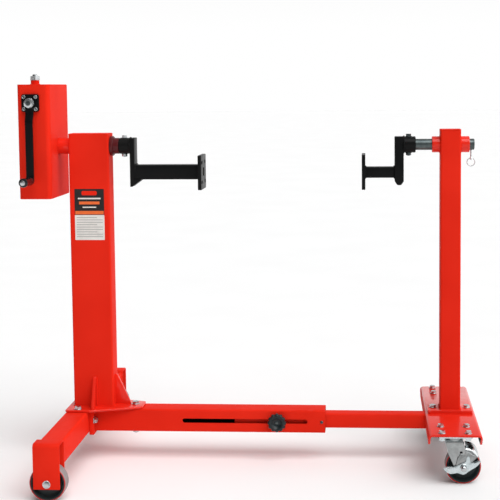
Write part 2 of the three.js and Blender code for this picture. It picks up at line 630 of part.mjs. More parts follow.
function clampKnob() {
  const { x, r, thick, studR } = KNOB;
  const lobes = 6;
  const shape = new THREE.Shape();
  const steps = 36;
  for (let i = 0; i < steps; i += 1) {
    const angle = (2 * Math.PI * i) / steps;
    const reach = r - 3.5 + 3.5 * Math.cos(lobes * angle);
    const point = polar(reach, angle);
    if (i === 0) {
      shape.moveTo(...point);
    } else {
      shape.lineTo(...point);
    }
  }
  const holder = group(x, -BEAM.size / 2, BEAM.z);
  const body = extrudeBack(shape, -6 - thick, thick);
  const boss = bar('y', -7, -GAP, 0, 0, 13, 20);
  const stud = bar('y', -3, BEAM.size / 2 - INNER.size / 2 + 12, 0, 0, studR, 12);
  add('clamp_knob', join(body, boss, stud), PLASTIC, holder);
}

// ---------------------------------------------------------------- casters
function casterPlate() {
  const { plateX, plateY, plateThick, raceR, boltX, boltY } = CASTER;
  const top = CHANNEL.top - CHANNEL.sheet - GAP;
  const [under, low] = [top - plateThick, top - 2 * plateThick];
  const plate = box(-plateX / 2, plateX / 2, -plateY / 2, plateY / 2, under, top);
  const added = [bar('z', low, under + 1, 0, 0, raceR)];
  for (const x of [-boltX, boltX]) {
    for (const y of [-boltY, boltY]) {
      added.push(bar('z', low, under + 1, x, y, 9, 6));
    }
  }
  return join(plate, ...added);
}

// Crown and two tapered legs that carry the wheel behind the swivel axis.
function casterYoke(legY) {
  const { trail, plateThick, crownR, sheet, axleR } = CASTER;
  const top = CHANNEL.top - CHANNEL.sheet - 2 * plateThick - 2 * GAP;
  const crown = bar('z', top - 16, top, 0, 0, crownR);
  const web = box(-24, 40, -legY - sheet, legY + sheet, top - 20, top - 14);
  const leg = outline([
    [-26, top - 8], [-26, top - 22], [trail - 16, WHEEL.r - 4], [trail - 8, WHEEL.r - 14],
    [trail + 8, WHEEL.r - 14], [trail + 16, WHEEL.r - 4], [44, top - 22], [44, top - 14],
  ]);
  const legs = [extrudeBack(leg, -legY - sheet, sheet), extrudeBack(leg, legY, sheet)];
  const axleHole = bar('y', -2 * legY, 2 * legY, trail, WHEEL.r, axleR + 0.6, 12);
  return combine(crown, [web, ...legs], [axleHole]);
}

// Foot lever on the axle: a bar with a turned-out tab at each end.
function brakeLever(near) {
  const profile = outline([
    [-58, -2], [-34, -12], [34, 0], [58, 18], [52, 26], [28, 14], [-34, 6], [-54, 8],
  ]);
  const [tabOut, tabIn] = [near - 18, near - 2];
  const tabs = [box(-58, -42, tabOut, tabIn, 0, 4), box(42, 58, tabOut, tabIn, 14, 18)];
  const bore = bar('y', tabOut, 0, 0, 0, CASTER.axleR + 0.6, 12);
  return combine(extrudeBack(profile, near - 5, 4.6), tabs, [bore]);
}

function caster(end, side) {
  const { x, y, trail, sheet, axleR } = CASTER;
  const holder = group(x, CHANNEL.y + side * y, 0);
  const legY = WHEEL.width / 2 + 5;
  const outside = legY + sheet + GAP;
  const axle = throughBolt('y', -outside - 14, outside + 10, trail, WHEEL.r, axleR);
  add(`${end}_caster_plate`, casterPlate(), ZINC, holder);
  add(`${end}_caster_yoke`, casterYoke(legY), ZINC, holder);
  add(`${end}_caster_core`, wheelCore().translate(trail, 0, WHEEL.r), BLACK, holder);
  add(`${end}_caster_tread`, wheelTread().translate(trail, 0, WHEEL.r), TREAD, holder);
  add(`${end}_caster_axle`, axle, ZINC, holder);
  add(`${end}_brake_lever`, brakeLever(-outside).translate(trail, 0, WHEEL.r), ZINC, holder);
}

// ---------------------------------------------------------------- assembly
leftLeg();
for (const side of [-1, 1]) {
  rigidWheel(side);
}
outerBeam();
beamFlange();
guideSleeve();
postFoot();
baseBolts();
leftPost();
bearingTube();
gearCase();
crankFlange();
wormBearings();
wormShaft();
mitrePair();
mainShaft();
crank();
leftAdaptor();
innerTube();
rightChannel();
rightFoot();
rightPost();
idler();
rightAdaptor();
clampKnob();
caster('front', -1);
caster('rear', 1);

export default stand;
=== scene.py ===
"""Looks of a geared engine stand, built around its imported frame.

Lengths in the tables and shape calls are millimetres from the posts' centre line. Every mesh is made
in metres in the row frame, whose origin is the middle of the stand's box.
"""
import math
import random

import bmesh
import bpy
from mathutils import Matrix, Vector


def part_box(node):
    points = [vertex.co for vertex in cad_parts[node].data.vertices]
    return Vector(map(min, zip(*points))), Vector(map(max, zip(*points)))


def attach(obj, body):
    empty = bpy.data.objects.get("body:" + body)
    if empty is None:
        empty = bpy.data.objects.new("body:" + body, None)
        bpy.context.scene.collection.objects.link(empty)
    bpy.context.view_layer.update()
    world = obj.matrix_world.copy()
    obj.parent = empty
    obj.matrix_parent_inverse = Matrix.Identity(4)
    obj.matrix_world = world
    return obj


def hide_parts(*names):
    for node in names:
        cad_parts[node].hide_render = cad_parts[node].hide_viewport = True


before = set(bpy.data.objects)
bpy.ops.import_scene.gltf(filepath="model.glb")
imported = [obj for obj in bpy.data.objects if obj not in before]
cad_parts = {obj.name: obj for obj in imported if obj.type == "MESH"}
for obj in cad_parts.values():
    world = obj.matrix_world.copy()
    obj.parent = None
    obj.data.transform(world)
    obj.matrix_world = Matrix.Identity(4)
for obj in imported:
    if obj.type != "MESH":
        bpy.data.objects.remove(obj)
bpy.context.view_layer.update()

MM = 0.001
MIDDLE = Vector((-2.0, 35.0, 0.0))  # middle of the overall box, from the posts' centre line
AXIS_Z = 1110.0
SHARP = math.radians(32)
rng = random.Random(11)


# ------------------------------------------------------------------ materials
def new_material(name):
    """A material with its Principled shader, and a helper that adds nodes."""
    material = bpy.data.materials.new(name)
    material.use_nodes = True
    tree = material.node_tree
    shader = tree.nodes["Principled BSDF"]
    return material, tree, shader


def add_node(tree, kind, inputs=None, **settings):
    node = tree.nodes.new(kind)
    for key, value in settings.items():
        setattr(node, key, value)
    for key, value in (inputs or {}).items():
        if isinstance(value, bpy.types.NodeSocket):
            tree.links.new(value, node.inputs[key])
        else:
            node.inputs[key].default_value = value
    return node


def position(tree, stretch=(1, 1, 1)):
    coordinates = add_node(tree, "ShaderNodeTexCoord").outputs["Object"]
    mapping = add_node(tree, "ShaderNodeMapping", {"Vector": coordinates, "Scale": stretch})
    return mapping.outputs["Vector"]


def noise(tree, where, scale, detail=3.0, rough=0.5):
    inputs = {"Vector": where, "Scale": scale, "Detail": detail, "Roughness": rough}
    return add_node(tree, "ShaderNodeTexNoise", inputs).outputs["Fac"]


def spread(tree, value, low, high, start=0.3, end=0.7):
    """Maps a noise value onto a range."""
    inputs = {"Value": value, "From Min": start, "From Max": end, "To Min": low, "To Max": high}
    return add_node(tree, "ShaderNodeMapRange", inputs).outputs["Result"]


def blend_colours(tree, factor, a, b):
    node = add_node(tree, "ShaderNodeMix", data_type="RGBA")
    for socket, value in ((node.inputs[0], factor), (node.inputs[6], a), (node.inputs[7], b)):
        if isinstance(value, bpy.types.NodeSocket):
            tree.links.new(value, socket)
        else:
            socket.default_value = (*value, 1) if isinstance(value, tuple) else value
    return node.outputs[2]


def bump(tree, height, strength, distance):
    inputs = {"Height": height, "Strength": strength, "Distance": distance}
    return add_node(tree, "ShaderNodeBump", inputs).outputs["Normal"]


def set_sockets(tree, shader, **values):
    for key, value in values.items():
        socket = shader.inputs[key.replace("_", " ")]
        if isinstance(value, bpy.types.NodeSocket):
            tree.links.new(value, socket)
        else:
            socket.default_value = value


def powder_coat(name, colour, deep, roughness=0.4, coat=0.6, gloss=0.16):
    """Glossy powder coat: orange peel, slow tone changes, a little dust and fine rub marks."""
    material, tree, shader = new_material(name)
    where = position(tree)
    tone = spread(tree, noise(tree, where, 4.5, 2), 0, 1)
    base = blend_colours(tree, tone, colour, deep)
    specks = spread(tree, noise(tree, where, 900, 2), 0, 0.16, 0.62, 0.72)
    base = blend_colours(tree, specks, base, deep)
    rub = spread(tree, noise(tree, position(tree, (1, 1, 9)), 60, 5, 0.7), roughness - 0.05, roughness + 0.09)
    peel = noise(tree, where, 210, 2)
    normal = bump(tree, peel, 0.10, 0.0006)
    set_sockets(tree, shader, Base_Color=base, Roughness=rub, Normal=normal, Coat_Normal=normal)
    set_sockets(tree, shader, Coat_Weight=coat, Coat_Roughness=0.05, Coat_IOR=1.38, Specular_IOR_Level=gloss, IOR=1.34)
    return material


def metal(name, light, dark, low, high, grain=(1, 1, 1), grain_scale=120.0, depth=0.0002, metallic=1.0):
    """Bare or plated metal with tarnish clouds and a directional grain."""
    material, tree, shader = new_material(name)
    where = position(tree)
    clouds = spread(tree, noise(tree, where, 55, 4, 0.6), 0, 1)
    fine = noise(tree, position(tree, grain), grain_scale, 5, 0.65)
    base = blend_colours(tree, clouds, light, dark)
    roughness = spread(tree, fine, low, high)
    normal = bump(tree, fine, 0.25, depth)
    set_sockets(tree, shader, Base_Color=base, Roughness=roughness, Normal=normal)
    set_sockets(tree, shader, Metallic=metallic)
    return material


def moulded(name, colour, worn, roughness, grain, strength, coat=0.0, gloss=0.3):
    """Plastic, rubber or paint over a casting, with fine grain and paler wear."""
    material, tree, shader = new_material(name)
    where = position(tree)
    patches = spread(tree, noise(tree, where, 38, 4, 0.6), 0, 1, 0.4, 0.75)
    base = blend_colours(tree, patches, colour, worn)
    fine = noise(tree, where, grain, 3)
    rough = spread(tree, noise(tree, where, 90, 3), roughness - 0.05, roughness + 0.08)
    set_sockets(tree, shader, Base_Color=base, Roughness=rough, Normal=bump(tree, fine, strength, 0.0004))
    set_sockets(tree, shader, Coat_Weight=coat, Coat_Roughness=0.12, Coat_IOR=1.4, Specular_IOR_Level=gloss)
    return material


RED = powder_coat("red_powder_coat", (0.81, 0.026, 0.011), (0.72, 0.020, 0.008), 0.5, 0.03, 0.03)
GLOSS = powder_coat("red_gloss_coat", (0.81, 0.025, 0.010), (0.72, 0.019, 0.008), 0.38, 0.7)
# Deep maroon: painted shade for the shadow of an engine that is not modelled, on the tube end right of the left post.
ENGINE_SHADE_RED = powder_coat("painted_shade_red_coat", (0.13, 0.012, 0.014), (0.09, 0.009, 0.011), 0.36, 0.4)
BLACK = powder_coat("black_enamel", (0.0045, 0.005, 0.0055), (0.009, 0.009, 0.009), 0.36, 0.08, 0.1)
ZINC = metal("zinc_plate", (0.66, 0.68, 0.69), (0.44, 0.47, 0.48), 0.18, 0.36)
BRIGHT = metal("bright_zinc", (0.70, 0.77, 0.79), (0.54, 0.61, 0.63), 0.2, 0.38)
PRESSED = metal("zinc_pressing", (0.46, 0.475, 0.475), (0.33, 0.345, 0.345), 0.3, 0.5)
STEEL = metal("oiled_steel", (0.13, 0.155, 0.155), (0.07, 0.085, 0.088), 0.3, 0.5, (14, 1, 1), 90.0)
BRONZE = metal("gear_bronze", (0.55, 0.36, 0.15), (0.42, 0.26, 0.1), 0.25, 0.45, (14, 1, 1), 90.0)
CORE = moulded("wheel_core_enamel", (0.010, 0.017, 0.018), (0.022, 0.029, 0.03), 0.32, 260.0, 0.2, 0.15)
EDGE = moulded("tread_edge", (0.62, 0.022, 0.02), (0.45, 0.05, 0.045), 0.38, 320.0, 0.12)
FACE = moulded("tread_face", (0.25, 0.225, 0.225), (0.34, 0.30, 0.30), 0.62, 140.0, 0.4)
PLASTIC = moulded("black_plastic", (0.010, 0.016, 0.018), (0.018, 0.025, 0.027), 0.3, 700.0, 0.2)
GRIP = moulded("grip_plastic", (0.007, 0.007, 0.008), (0.014, 0.014, 0.015), 0.24, 500.0, 0.1, 0.25)
DECAL_BLACK = moulded("decal_black", (0.012, 0.011, 0.011), (0.02, 0.019, 0.018), 0.4, 900.0, 0.04)
DECAL_ORANGE = moulded("decal_orange", (0.86, 0.16, 0.03), (0.74, 0.13, 0.03), 0.42, 900.0, 0.04)
DECAL_WHITE = moulded("decal_white", (0.8, 0.78, 0.74), (0.68, 0.66, 0.62), 0.45, 900.0, 0.04)
DECAL_GREY = moulded("decal_grey", (0.32, 0.31, 0.3), (0.4, 0.39, 0.38), 0.45, 900.0, 0.04)


# ------------------------------------------------------------------ shapes
def to_xyz(axis, u, v, t):
    """Plane coordinates u, v and a distance t along an axis, as X, Y, Z."""
    return {"x": (t, u, v), "y": (u, t, v), "z": (u, v, t)}[axis]


def skin(rings, closed=False):
    """A closed surface over rings of equally many points. closed joins the last ring to the first."""
    bm = bmesh.new()
    rows = [[bm.verts.new(p) for p in ring] for ring in rings]
    count = len(rows[0])
    pairs = list(zip(rows, rows[1:])) + ([(rows[-1], rows[0])] if closed else [])
    for a, b in pairs:
        for i in range(count):
            j = (i + 1) % count
            bm.faces.new((a[i], a[j], b[j], b[i]))
    if not closed:
        bm.faces.new(rows[0][::-1])
        bm.faces.new(rows[-1])
    bmesh.ops.recalc_face_normals(bm, faces=bm.faces)
    return bm


def soften(bm, width, steps=2):
    """Rounds every sharp edge."""
    sharp = [e for e in bm.edges if e.is_manifold and e.calc_face_angle(0) > SHARP]
    if width > 0:
        bmesh.ops.bevel(bm, geom=sharp, offset=width, segments=steps, affect="EDGES", profile=0.5)
    return bm


def arc(cu, cv, r, start, end, steps=8):
    """Points on an arc, angles in degrees."""
    angles = [math.radians(start + (end - start) * i / steps) for i in range(steps + 1)]
    return [(cu + r * math.cos(a), cv + r * math.sin(a)) for a in angles]


def rounded(corners, radius, steps=5):
    """A polygon with each corner replaced by an arc; radius is one number or one per corner."""
    count = len(corners)
    radii = radius if isinstance(radius, (list, tuple)) else [radius] * count
    points = []
    for i, r in enumerate(radii):
        before, here, after = (Vector(corners[(i + k) % count]) for k in (-1, 0, 1))
        if r <= 0:
            points.append(tuple(here))
            continue
        a, b = (before - here).normalized(), (after - here).normalized()
        half = math.acos(max(-1, min(1, a.dot(b)))) / 2
        centre = here + (a + b).normalized() * (r / math.sin(half))
        start = here + a * (r / math.tan(half)) - centre
        end = here + b * (r / math.tan(half)) - centre
        for k in range(steps + 1):
            way = start.lerp(end, k / steps).normalized()
            points.append(tuple(centre + way * r))
    return points


def rectangle(u0, u1, v0, v1, r, steps=5):
    return rounded([(u0, v0), (u1, v0), (u1, v1), (u0, v1)], r, steps)


def prism(points, axis, a, b, edge=0.8, steps=2):
    """A flat outline pushed along an axis from a to b, with softened edges."""
    rings = [[to_xyz(axis, u, v, t) for u, v in points] for t in (a, b)]
    return soften(skin(rings), edge, steps)


def square_tube(axis, a, b, u0, u1, v0, v1, wall, r, lip=0.8):
    """A hollow section with round corners and slightly broken end edges."""
    def ring(inset, t):
        points = rectangle(u0 + inset, u1 - inset, v0 + inset, v1 - inset, max(r - inset, 1.2))
        return [to_xyz(axis, u, v, t) for u, v in points]
    steps = [(0, a + lip), (0, b - lip), (lip, b), (wall - lip, b), (wall, b - lip)]
    steps += [(wall, a + lip), (wall - lip, a), (lip, a)]
    return skin([ring(*s) for s in steps], closed=True)


def capped_tube(axis, a, b, u0, u1, v0, v1, wall, r, lip=1.2):
    """The same, closed at b by a welded cap and open at a."""
    def ring(inset, t):
        points = rectangle(u0 + inset, u1 - inset, v0 + inset, v1 - inset, max(r - inset, 1.2))
        return [to_xyz(axis, u, v, t) for u, v in points]
    steps = [(wall, b - wall), (wall, a + lip), (wall - lip, a), (lip, a), (0, a + lip), (0, b - lip), (lip, b)]
    return skin([ring(*s) for s in steps])


def lathe(profile, axis, u, v, sides=48, closed=False, radius_at=None):
    """Turns (t, r) points about an axis through u, v. Radius 0 closes an end."""
    bm = bmesh.new()
    rows = []
    for t, r in profile:
        if r < 1e-6:
            rows.append([bm.verts.new(to_xyz(axis, u, v, t))])
            continue
        row = []
        for i in range(sides):
            angle = 2 * math.pi * i / sides
            reach = radius_at(r, angle) if radius_at else r
            row.append(bm.verts.new(to_xyz(axis, u + reach * math.cos(angle), v + reach * math.sin(angle), t)))
        rows.append(row)
    pairs = list(zip(rows, rows[1:])) + ([(rows[-1], rows[0])] if closed else [])
    for a, b in pairs:
        for i in range(sides):
            j = (i + 1) % sides
            if len(a) == 1:
                bm.faces.new((a[0], b[j], b[i]))
            elif len(b) == 1:
                bm.faces.new((a[i], a[j], b[0]))
            else:
                bm.faces.new((a[i], a[j], b[j], b[i]))
    bmesh.ops.recalc_face_normals(bm, faces=bm.faces)
    return bm


def rod(axis, a, b, u, v, r, edge=1.0, sides=48):
    """A solid round bar with chamfered ends."""
    return lathe([(a, 0), (a, r - edge), (a + edge, r), (b - edge, r), (b, r - edge), (b, 0)], axis, u, v, sides)


def pipe(axis, a, b, u, v, r, bore, edge=1.0, sides=48):
    profile = [(a, bore + edge), (a, r - edge), (a + edge, r), (b - edge, r), (b, r - edge), (b, bore + edge)]
    profile += [(b - edge, bore), (a + edge, bore)]
    return lathe(profile, axis, u, v, sides, closed=True)


def hexagon(a, b, r, bore=0.0, both=False):
    """A hexagon of corner radius r along +Z from a to b, chamfered at the top, or at both ends."""
    sides = 36
    flat = r * math.cos(math.pi / 6)
    inner = flat * 0.95
    def reach(angle):
        return flat / math.cos((angle + math.pi / 6) % (math.pi / 3) - math.pi / 6)
    def ring(level):
        points = []
        for i in range(sides):
            angle = 2 * math.pi * i / sides
            drop = (reach(angle) - inner) * 0.55
            radius, z = {
                "a_in": (inner, a), "a_out": (reach(angle), a + (drop if both else 0)),
                "b_out": (reach(angle), b - drop), "b_in": (inner, b),
                "b_bore": (bore, b), "a_bore": (bore, a),
            }[level]
            points.append((radius * math.cos(angle), radius * math.sin(angle), z))
        return points
    levels = (["a_in"] if both else []) + ["a_out", "b_out", "b_in"]
    if bore > 0:
        return skin([ring(x) for x in [*levels, "b_bore", "a_bore"]], closed=True)
    return skin([ring(x) for x in levels])


def merge(*parts):
    """Puts several closed shapes in one mesh."""
    whole = parts[0]
    for part in parts[1:]:
        spare = bpy.data.meshes.new("spare")
        part.to_mesh(spare)
        part.free()
        whole.from_mesh(spare)
        bpy.data.meshes.remove(spare)
    return whole


def aim(bm, place, direction, turn=0.0):
    """Moves a shape made along +Z so that it stands at a place along a direction."""
    spin = Matrix.Rotation(math.radians(turn), 4, "Z")
    matrix = Matrix.Translation(place) @ Vector(direction).to_track_quat("Z", "Y").to_matrix().to_4x4() @ spin
    bmesh.ops.transform(bm, matrix=matrix, verts=bm.verts)
    return bm


def thread(a, b, r, pitch=1.75):
    """A short screw end with ridges, along +Z."""
    profile = [(a, 0), (a, r)]
    t = a
    while t + pitch < b - 0.8:
        profile += [(t + pitch * 0.5, r - 0.7), (t + pitch, r)]
        t += pitch
    profile += [(b - 0.8, r), (b, r - 1.1), (b, 0)]
    return lathe(profile, "z", 0, 0, 20)


def washer(a, b, r, bore):
    return pipe("z", a, b, 0, 0, r, bore, 0.35, 32)


def bolt_head(r, washer_r=None, height=None):
    """Hexagon head on a washer, along +Z from the surface."""
    height = height or r * 0.68
    washer_r = washer_r or r * 1.22
    dish = lathe([(2.0 + height - 0.15, 0), (2.0 + height - 0.15, r * 0.52), (2.0 + height, r * 0.6),
                  (2.0 + height - 0.6, r * 0.6), (2.0 + height - 0.6, 0)], "z", 0, 0, 24)
    return merge(washer(0.05, 2.0, washer_r, r * 0.4), hexagon(2.0, 2.0 + height, r), dish)


def nut_end(r, reach=None):
    """Washer, nut and the bolt's screwed end, along +Z from the surface."""
    height = r * 0.85
    reach = reach or height + r * 0.45
    nut = hexagon(2.0, 2.0 + height, r, r * 0.5, both=True)
    return merge(washer(0.05, 2.0, r * 1.2, r * 0.55), nut, thread(0.3, 2.0 + reach, r * 0.495))


def round_head(r, height, socket=True):
    """Domed screw head, along +Z, with a hexagon socket."""
    dome = [(0, 0), (0, r)]
    dome += [(height * math.sin(math.radians(a)), r * math.cos(math.radians(a))) for a in (20, 40, 60, 75)]
    if socket:
        dome += [(height, r * 0.24), (height * 0.45, r * 0.22), (height * 0.45, 0)]
    else:
        dome += [(height, 0)]
    return lathe(dome, "z", 0, 0, 28)


def slotted_head(r, height):
    """Cheese-head screw, along +Z, with a rim and one bar across a sunk centre."""
    rim = pipe("z", 0, height, 0, 0, r, r * 0.7, 0.4, 28)
    return merge(rim, prism(rectangle(-r * 0.72, r * 0.72, -r * 0.14, r * 0.14, 0.2, 1), "z", 0.4, height * 0.8, 0))


def raw_object(name, bm):
    mesh = bpy.data.meshes.new(name)
    bm.to_mesh(mesh)
    bm.free()
    item = bpy.data.objects.new(name, mesh)
    bpy.context.scene.collection.objects.link(item)
    return item


def boolean(item, tools, operation):
    """Cuts tools from a mesh object, or joins them to it, and keeps the result as its mesh."""
    for bm in tools:
        tool = raw_object("tool", bm)
        step = item.modifiers.new("step", "BOOLEAN")
        step.operation = operation
        step.solver = "EXACT"
        step.object = tool
        graph = bpy.context.evaluated_depsgraph_get()
        result = bpy.data.meshes.new_from_object(item.evaluated_get(graph))
        item.modifiers.clear()
        item.data = result
        bpy.data.objects.remove(tool)
    return item


def piece(name, bm, body, material, stands_for=(), cuts=(), joins=(), sharp=SHARP):
    """Makes one visible piece that rides on a body, from a shape in millimetres."""
    item = raw_object(name, bm)
    boolean(item, joins, "UNION")
    boolean(item, cuts, "DIFFERENCE")
    mesh = item.data
    mesh.transform(Matrix.Scale(MM, 4) @ Matrix.Translation(-MIDDLE))
    mesh.materials.clear()
    mesh.materials.append(material)
    mesh.polygons.foreach_set("material_index", [0] * len(mesh.polygons))
    mesh.polygons.foreach_set("use_smooth", [True] * len(mesh.polygons))
    mesh.set_sharp_from_angle(angle=sharp)
    mesh.update()
    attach(item, body)
    if stands_for:
        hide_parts(*stands_for)
    return item


def span(node):
    """Lowest and highest corner of a CAD node, as the tables measure."""
    low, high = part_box(node)
    return tuple(Vector(low) / MM + MIDDLE), tuple(Vector(high) / MM + MIDDLE)


def bead(points, r=2.6, closed=False, ripple=2.4):
    """A weld bead along a line of points, with the ripples of a hand weld."""
    path = [Vector(p) for p in points]
    if closed:
        path.append(path[0])
    total = sum((b - a).length for a, b in zip(path, path[1:]))
    count = max(6, int(total / (ripple / 2)))
    centres, sides = [], 8
    for i in range(count if closed else count + 1):
        left = total * i / count
        for a, b in zip(path, path[1:]):
            step = (b - a).length
            if left <= step + 1e-6:
                centres.append(a.lerp(b, left / step))
                break
            left -= step
    rings = []
    for i, here in enumerate(centres):
        after = centres[(i + 1) % len(centres)] if closed or i + 1 < len(centres) else here
        before = centres[i - 1] if closed or i > 0 else here
        way = (after - before).normalized()
        across = way.orthogonal().normalized() if abs(way.z) > 0.99 else way.cross(Vector((0, 0, 1))).normalized()
        up = across.cross(way).normalized()
        reach = r * (1.0 + (0.10 if i % 2 else -0.10) + rng.uniform(-0.07, 0.07))
        if not closed and i in (0, len(centres) - 1):
            reach *= 0.55
        rings.append([
            here + across * reach * math.cos(2 * math.pi * k / sides) + up * reach * math.sin(2 * math.pi * k / sides)
            for k in range(sides)
        ])
    return skin([[tuple(p) for p in ring] for ring in rings], closed)


def circle(axis, t, u, v, r, steps=48):
    points = [(u + r * math.cos(2 * math.pi * i / steps), v + r * math.sin(2 * math.pi * i / steps)) for i in range(steps)]
    return [to_xyz(axis, a, b, t) for a, b in points]


# ------------------------------------------------------------------ left base
LEG_X = -612.0
BEAM_Z = 142.0
(leg_x0, leg_y0, leg_z0), (leg_x1, leg_y1, leg_z1) = span("left_leg")
piece("left_leg_tube", square_tube("y", leg_y0, leg_y1, leg_x0, leg_x1, leg_z0, leg_z1, 5, 7), "base", RED, ["left_leg"])


def folded_profile(y_out, y_in, bottom, top, sheet, bend):
    """An upside-down U strip as a flat outline."""
    inner = bend - sheet
    points = [(y_out, bottom)] + arc(y_out + bend, top - bend, bend, 180, 90)
    points += arc(y_in - bend, top - bend, bend, 90, 0) + [(y_in, bottom), (y_in - sheet, bottom)]
    points += arc(y_in - bend, top - bend, inner, 0, 90) + arc(y_out + bend, top - bend, inner, 90, 180)
    return points + [(y_out + sheet, bottom)]


WHEEL_Z = 59.0


def wheel(end, x, y, body, core_node, tread_node):
    """Cast core and a moulded tread, turned about Y."""
    side = [(-23.5, 7.2), (-23.5, 13.0), (-21.5, 15.5), (-10, 17.5), (-6.5, 21), (-6.5, 38), (-9, 43.5), (-19, 49.5)]
    side += [(-21, 51), (-21, 54), (-20, 55)]
    core = side + [(-t, r) for t, r in side[::-1]]
    piece(f"{end}_core_detailed", lathe([(y + t, r) for t, r in core], "y", x, WHEEL_Z, 56, closed=True),
          body, CORE, [core_node])
    half = [(-20.6, 55.1), (-21.9, 55.5), (-21.9, 56.4), (-20.6, 57.9), (-18.2, 58.8), (-14.5, 59.0)]
    ring = half + [(-t, r) for t, r in half[::-1]]
    tread = piece(f"{end}_tread_detailed", lathe([(y + t, r) for t, r in ring], "y", x, WHEEL_Z, 72, closed=True),
                  body, EDGE, [tread_node])
    tread.data.materials.append(FACE)
    for face in tread.data.polygons:
        c = face.center / MM + MIDDLE
        if abs(c.y - y) < 19.4 and math.hypot(c.x - x, c.z - WHEEL_Z) > 55.3:
            face.material_index = 1
    seal = lathe([(0, 7.3), (0, 12.6), (0.6, 12.6), (0.6, 7.3)], "z", 0, 0, 32, closed=True)
    other = seal.copy()
    seals = merge(aim(seal, (x, y - 23.6, WHEEL_Z), (0, -1, 0)), aim(other, (x, y + 23.6, WHEEL_Z), (0, 1, 0)))
    piece(f"{end}_bearing_seals", seals, body, STEEL)


LEG_Y = 35.0  # the leg reaches further back than forward


def rigid_wheel(end, sign):
    middle = LEG_Y + sign * 478.5
    outline = folded_profile(middle - 31.5, middle + 31.5, 42, 189, 6, 13)
    hole = rod("y", middle - 50, middle + 50, LEG_X, WHEEL_Z, 6.4, 0.5, 24)
    piece(f"{end}_fork_folded", prism(outline, "x", LEG_X - 43, LEG_X + 43, 0.9), "base", RED, [f"{end}_fork"], [hole])
    wheel(f"{end}_wheel", LEG_X, middle, f"{end}_wheel", f"{end}_wheel_core", f"{end}_wheel_tread")
    head = aim(bolt_head(10.4, 13.0, 6.0), (LEG_X, middle + sign * 31.5, WHEEL_Z), (0, sign, 0), 10)
    shank = rod("y", middle - 38, middle + 38, LEG_X, WHEEL_Z, 6, 0.5, 24)
    nut = aim(nut_end(10.4, 7.5), (LEG_X, middle - sign * 31.5, WHEEL_Z), (0, -sign, 0))
    piece(f"{end}_axle_bolt", merge(head, shank, nut), "base", ZINC, [f"{end}_axle"])
    y = middle - sign * 32.0
    welds = [bead([(LEG_X + dx, y, 106), (LEG_X + dx, y, 178)], 2.0) for dx in (38.9, -38.9)]
    piece(f"{end}_fork_welds", merge(*welds), "base", RED)


rigid_wheel("front", -1)
rigid_wheel("rear", 1)

(beam_x0, beam_y0, beam_z0), (beam_x1, beam_y1, beam_z1) = span("outer_beam")
slot = arc(-246 + 8.2, BEAM_Z, 8.2, 90, 270, 12) + arc(195 - 8.2, BEAM_Z, 8.2, -90, 90, 12)
outer_beam = piece(
    "outer_beam_tube", square_tube("x", beam_x0, beam_x1, beam_y0, beam_y1, beam_z0, beam_z1, 5, 6), "base", RED,
    ["outer_beam"], [prism(slot, "y", -50, -30, 0)],
)
(fl_x0, fl_y0, fl_z0), (fl_x1, fl_y1, fl_z1) = span("beam_flange")
piece("beam_flange_plate", prism(rectangle(fl_y0, fl_y1, fl_z0, fl_z1, 7), "x", fl_x0, fl_x1, 1.2), "base", RED, ["beam_flange"])
for i, (y, z) in enumerate(((-54, 146), (54, 146))):
    piece(f"flange_nut_{i + 1}", aim(nut_end(11.8, 12), (fl_x1, y, z), (1, 0, 0), 12), "base", ZINC)
ring = rectangle(beam_y0 - 0.5, beam_y1 + 0.5, beam_z0 - 0.5, beam_z1 - 1.5, 6, 4)
piece("beam_flange_weld", bead([(fl_x1 + 1.2, y, z) for y, z in ring], 2.6, closed=True), "base", RED)

# Near-black dull red: painted shade for the bores of the floor tubes and the inner faces of the channel.
BORE_SHADE = powder_coat("painted_shade_inside", (0.02, 0.008, 0.007), (0.012, 0.008, 0.008), 0.6, 0.0, 0.1)


def paint_bore_shade(item, half):
    """Gives the faces inside a floor tube a near-black colour: painted shade in its bore."""
    item.data.materials.append(BORE_SHADE)
    for face in item.data.polygons:
        c = face.center / MM + MIDDLE
        if max(abs(c.y), abs(c.z - BEAM_Z)) < half:
            face.material_index = 1


paint_bore_shade(outer_beam, 35.6)

# Plate and gussets under the left post.
foot_z0 = span("post_foot")[0][2]
foot_z1 = foot_z0 + 8
plate = rounded([
    (-652, -92), (-564, -92), (-388, -38), (-388, 38), (-564, 92), (-652, 92),
], [12, 16, 12, 12, 16, 12])
front_gusset = rounded([(-38, foot_z1), (-84, foot_z1), (-84, foot_z1 + 7), (-45, foot_z1 + 108), (-38, foot_z1 + 108)],
                       [0, 0, 3, 5, 0])
rear_gusset = [(-y, z) for y, z in front_gusset]
side_gusset = rounded([(-489.9, foot_z1), (-436, foot_z1), (-436, foot_z1 + 8), (-482, foot_z1 + 108), (-489.9, foot_z1 + 108)],
                      [0, 0, 3, 5, 0])
piece("foot_plate_left", prism(plate, "z", foot_z0, foot_z1, 3.6, 4), "base", GLOSS, ["post_foot"])
piece("gusset_front", prism(front_gusset, "x", -560.5, -549.5, 1.4), "base", GLOSS)
piece("gusset_rear", prism(rear_gusset, "x", -560.5, -549.5, 1.4), "base", GLOSS)
piece("gusset_side", prism(side_gusset, "y", -5.5, 5.5, 1.4), "base", GLOSS)
welds = []
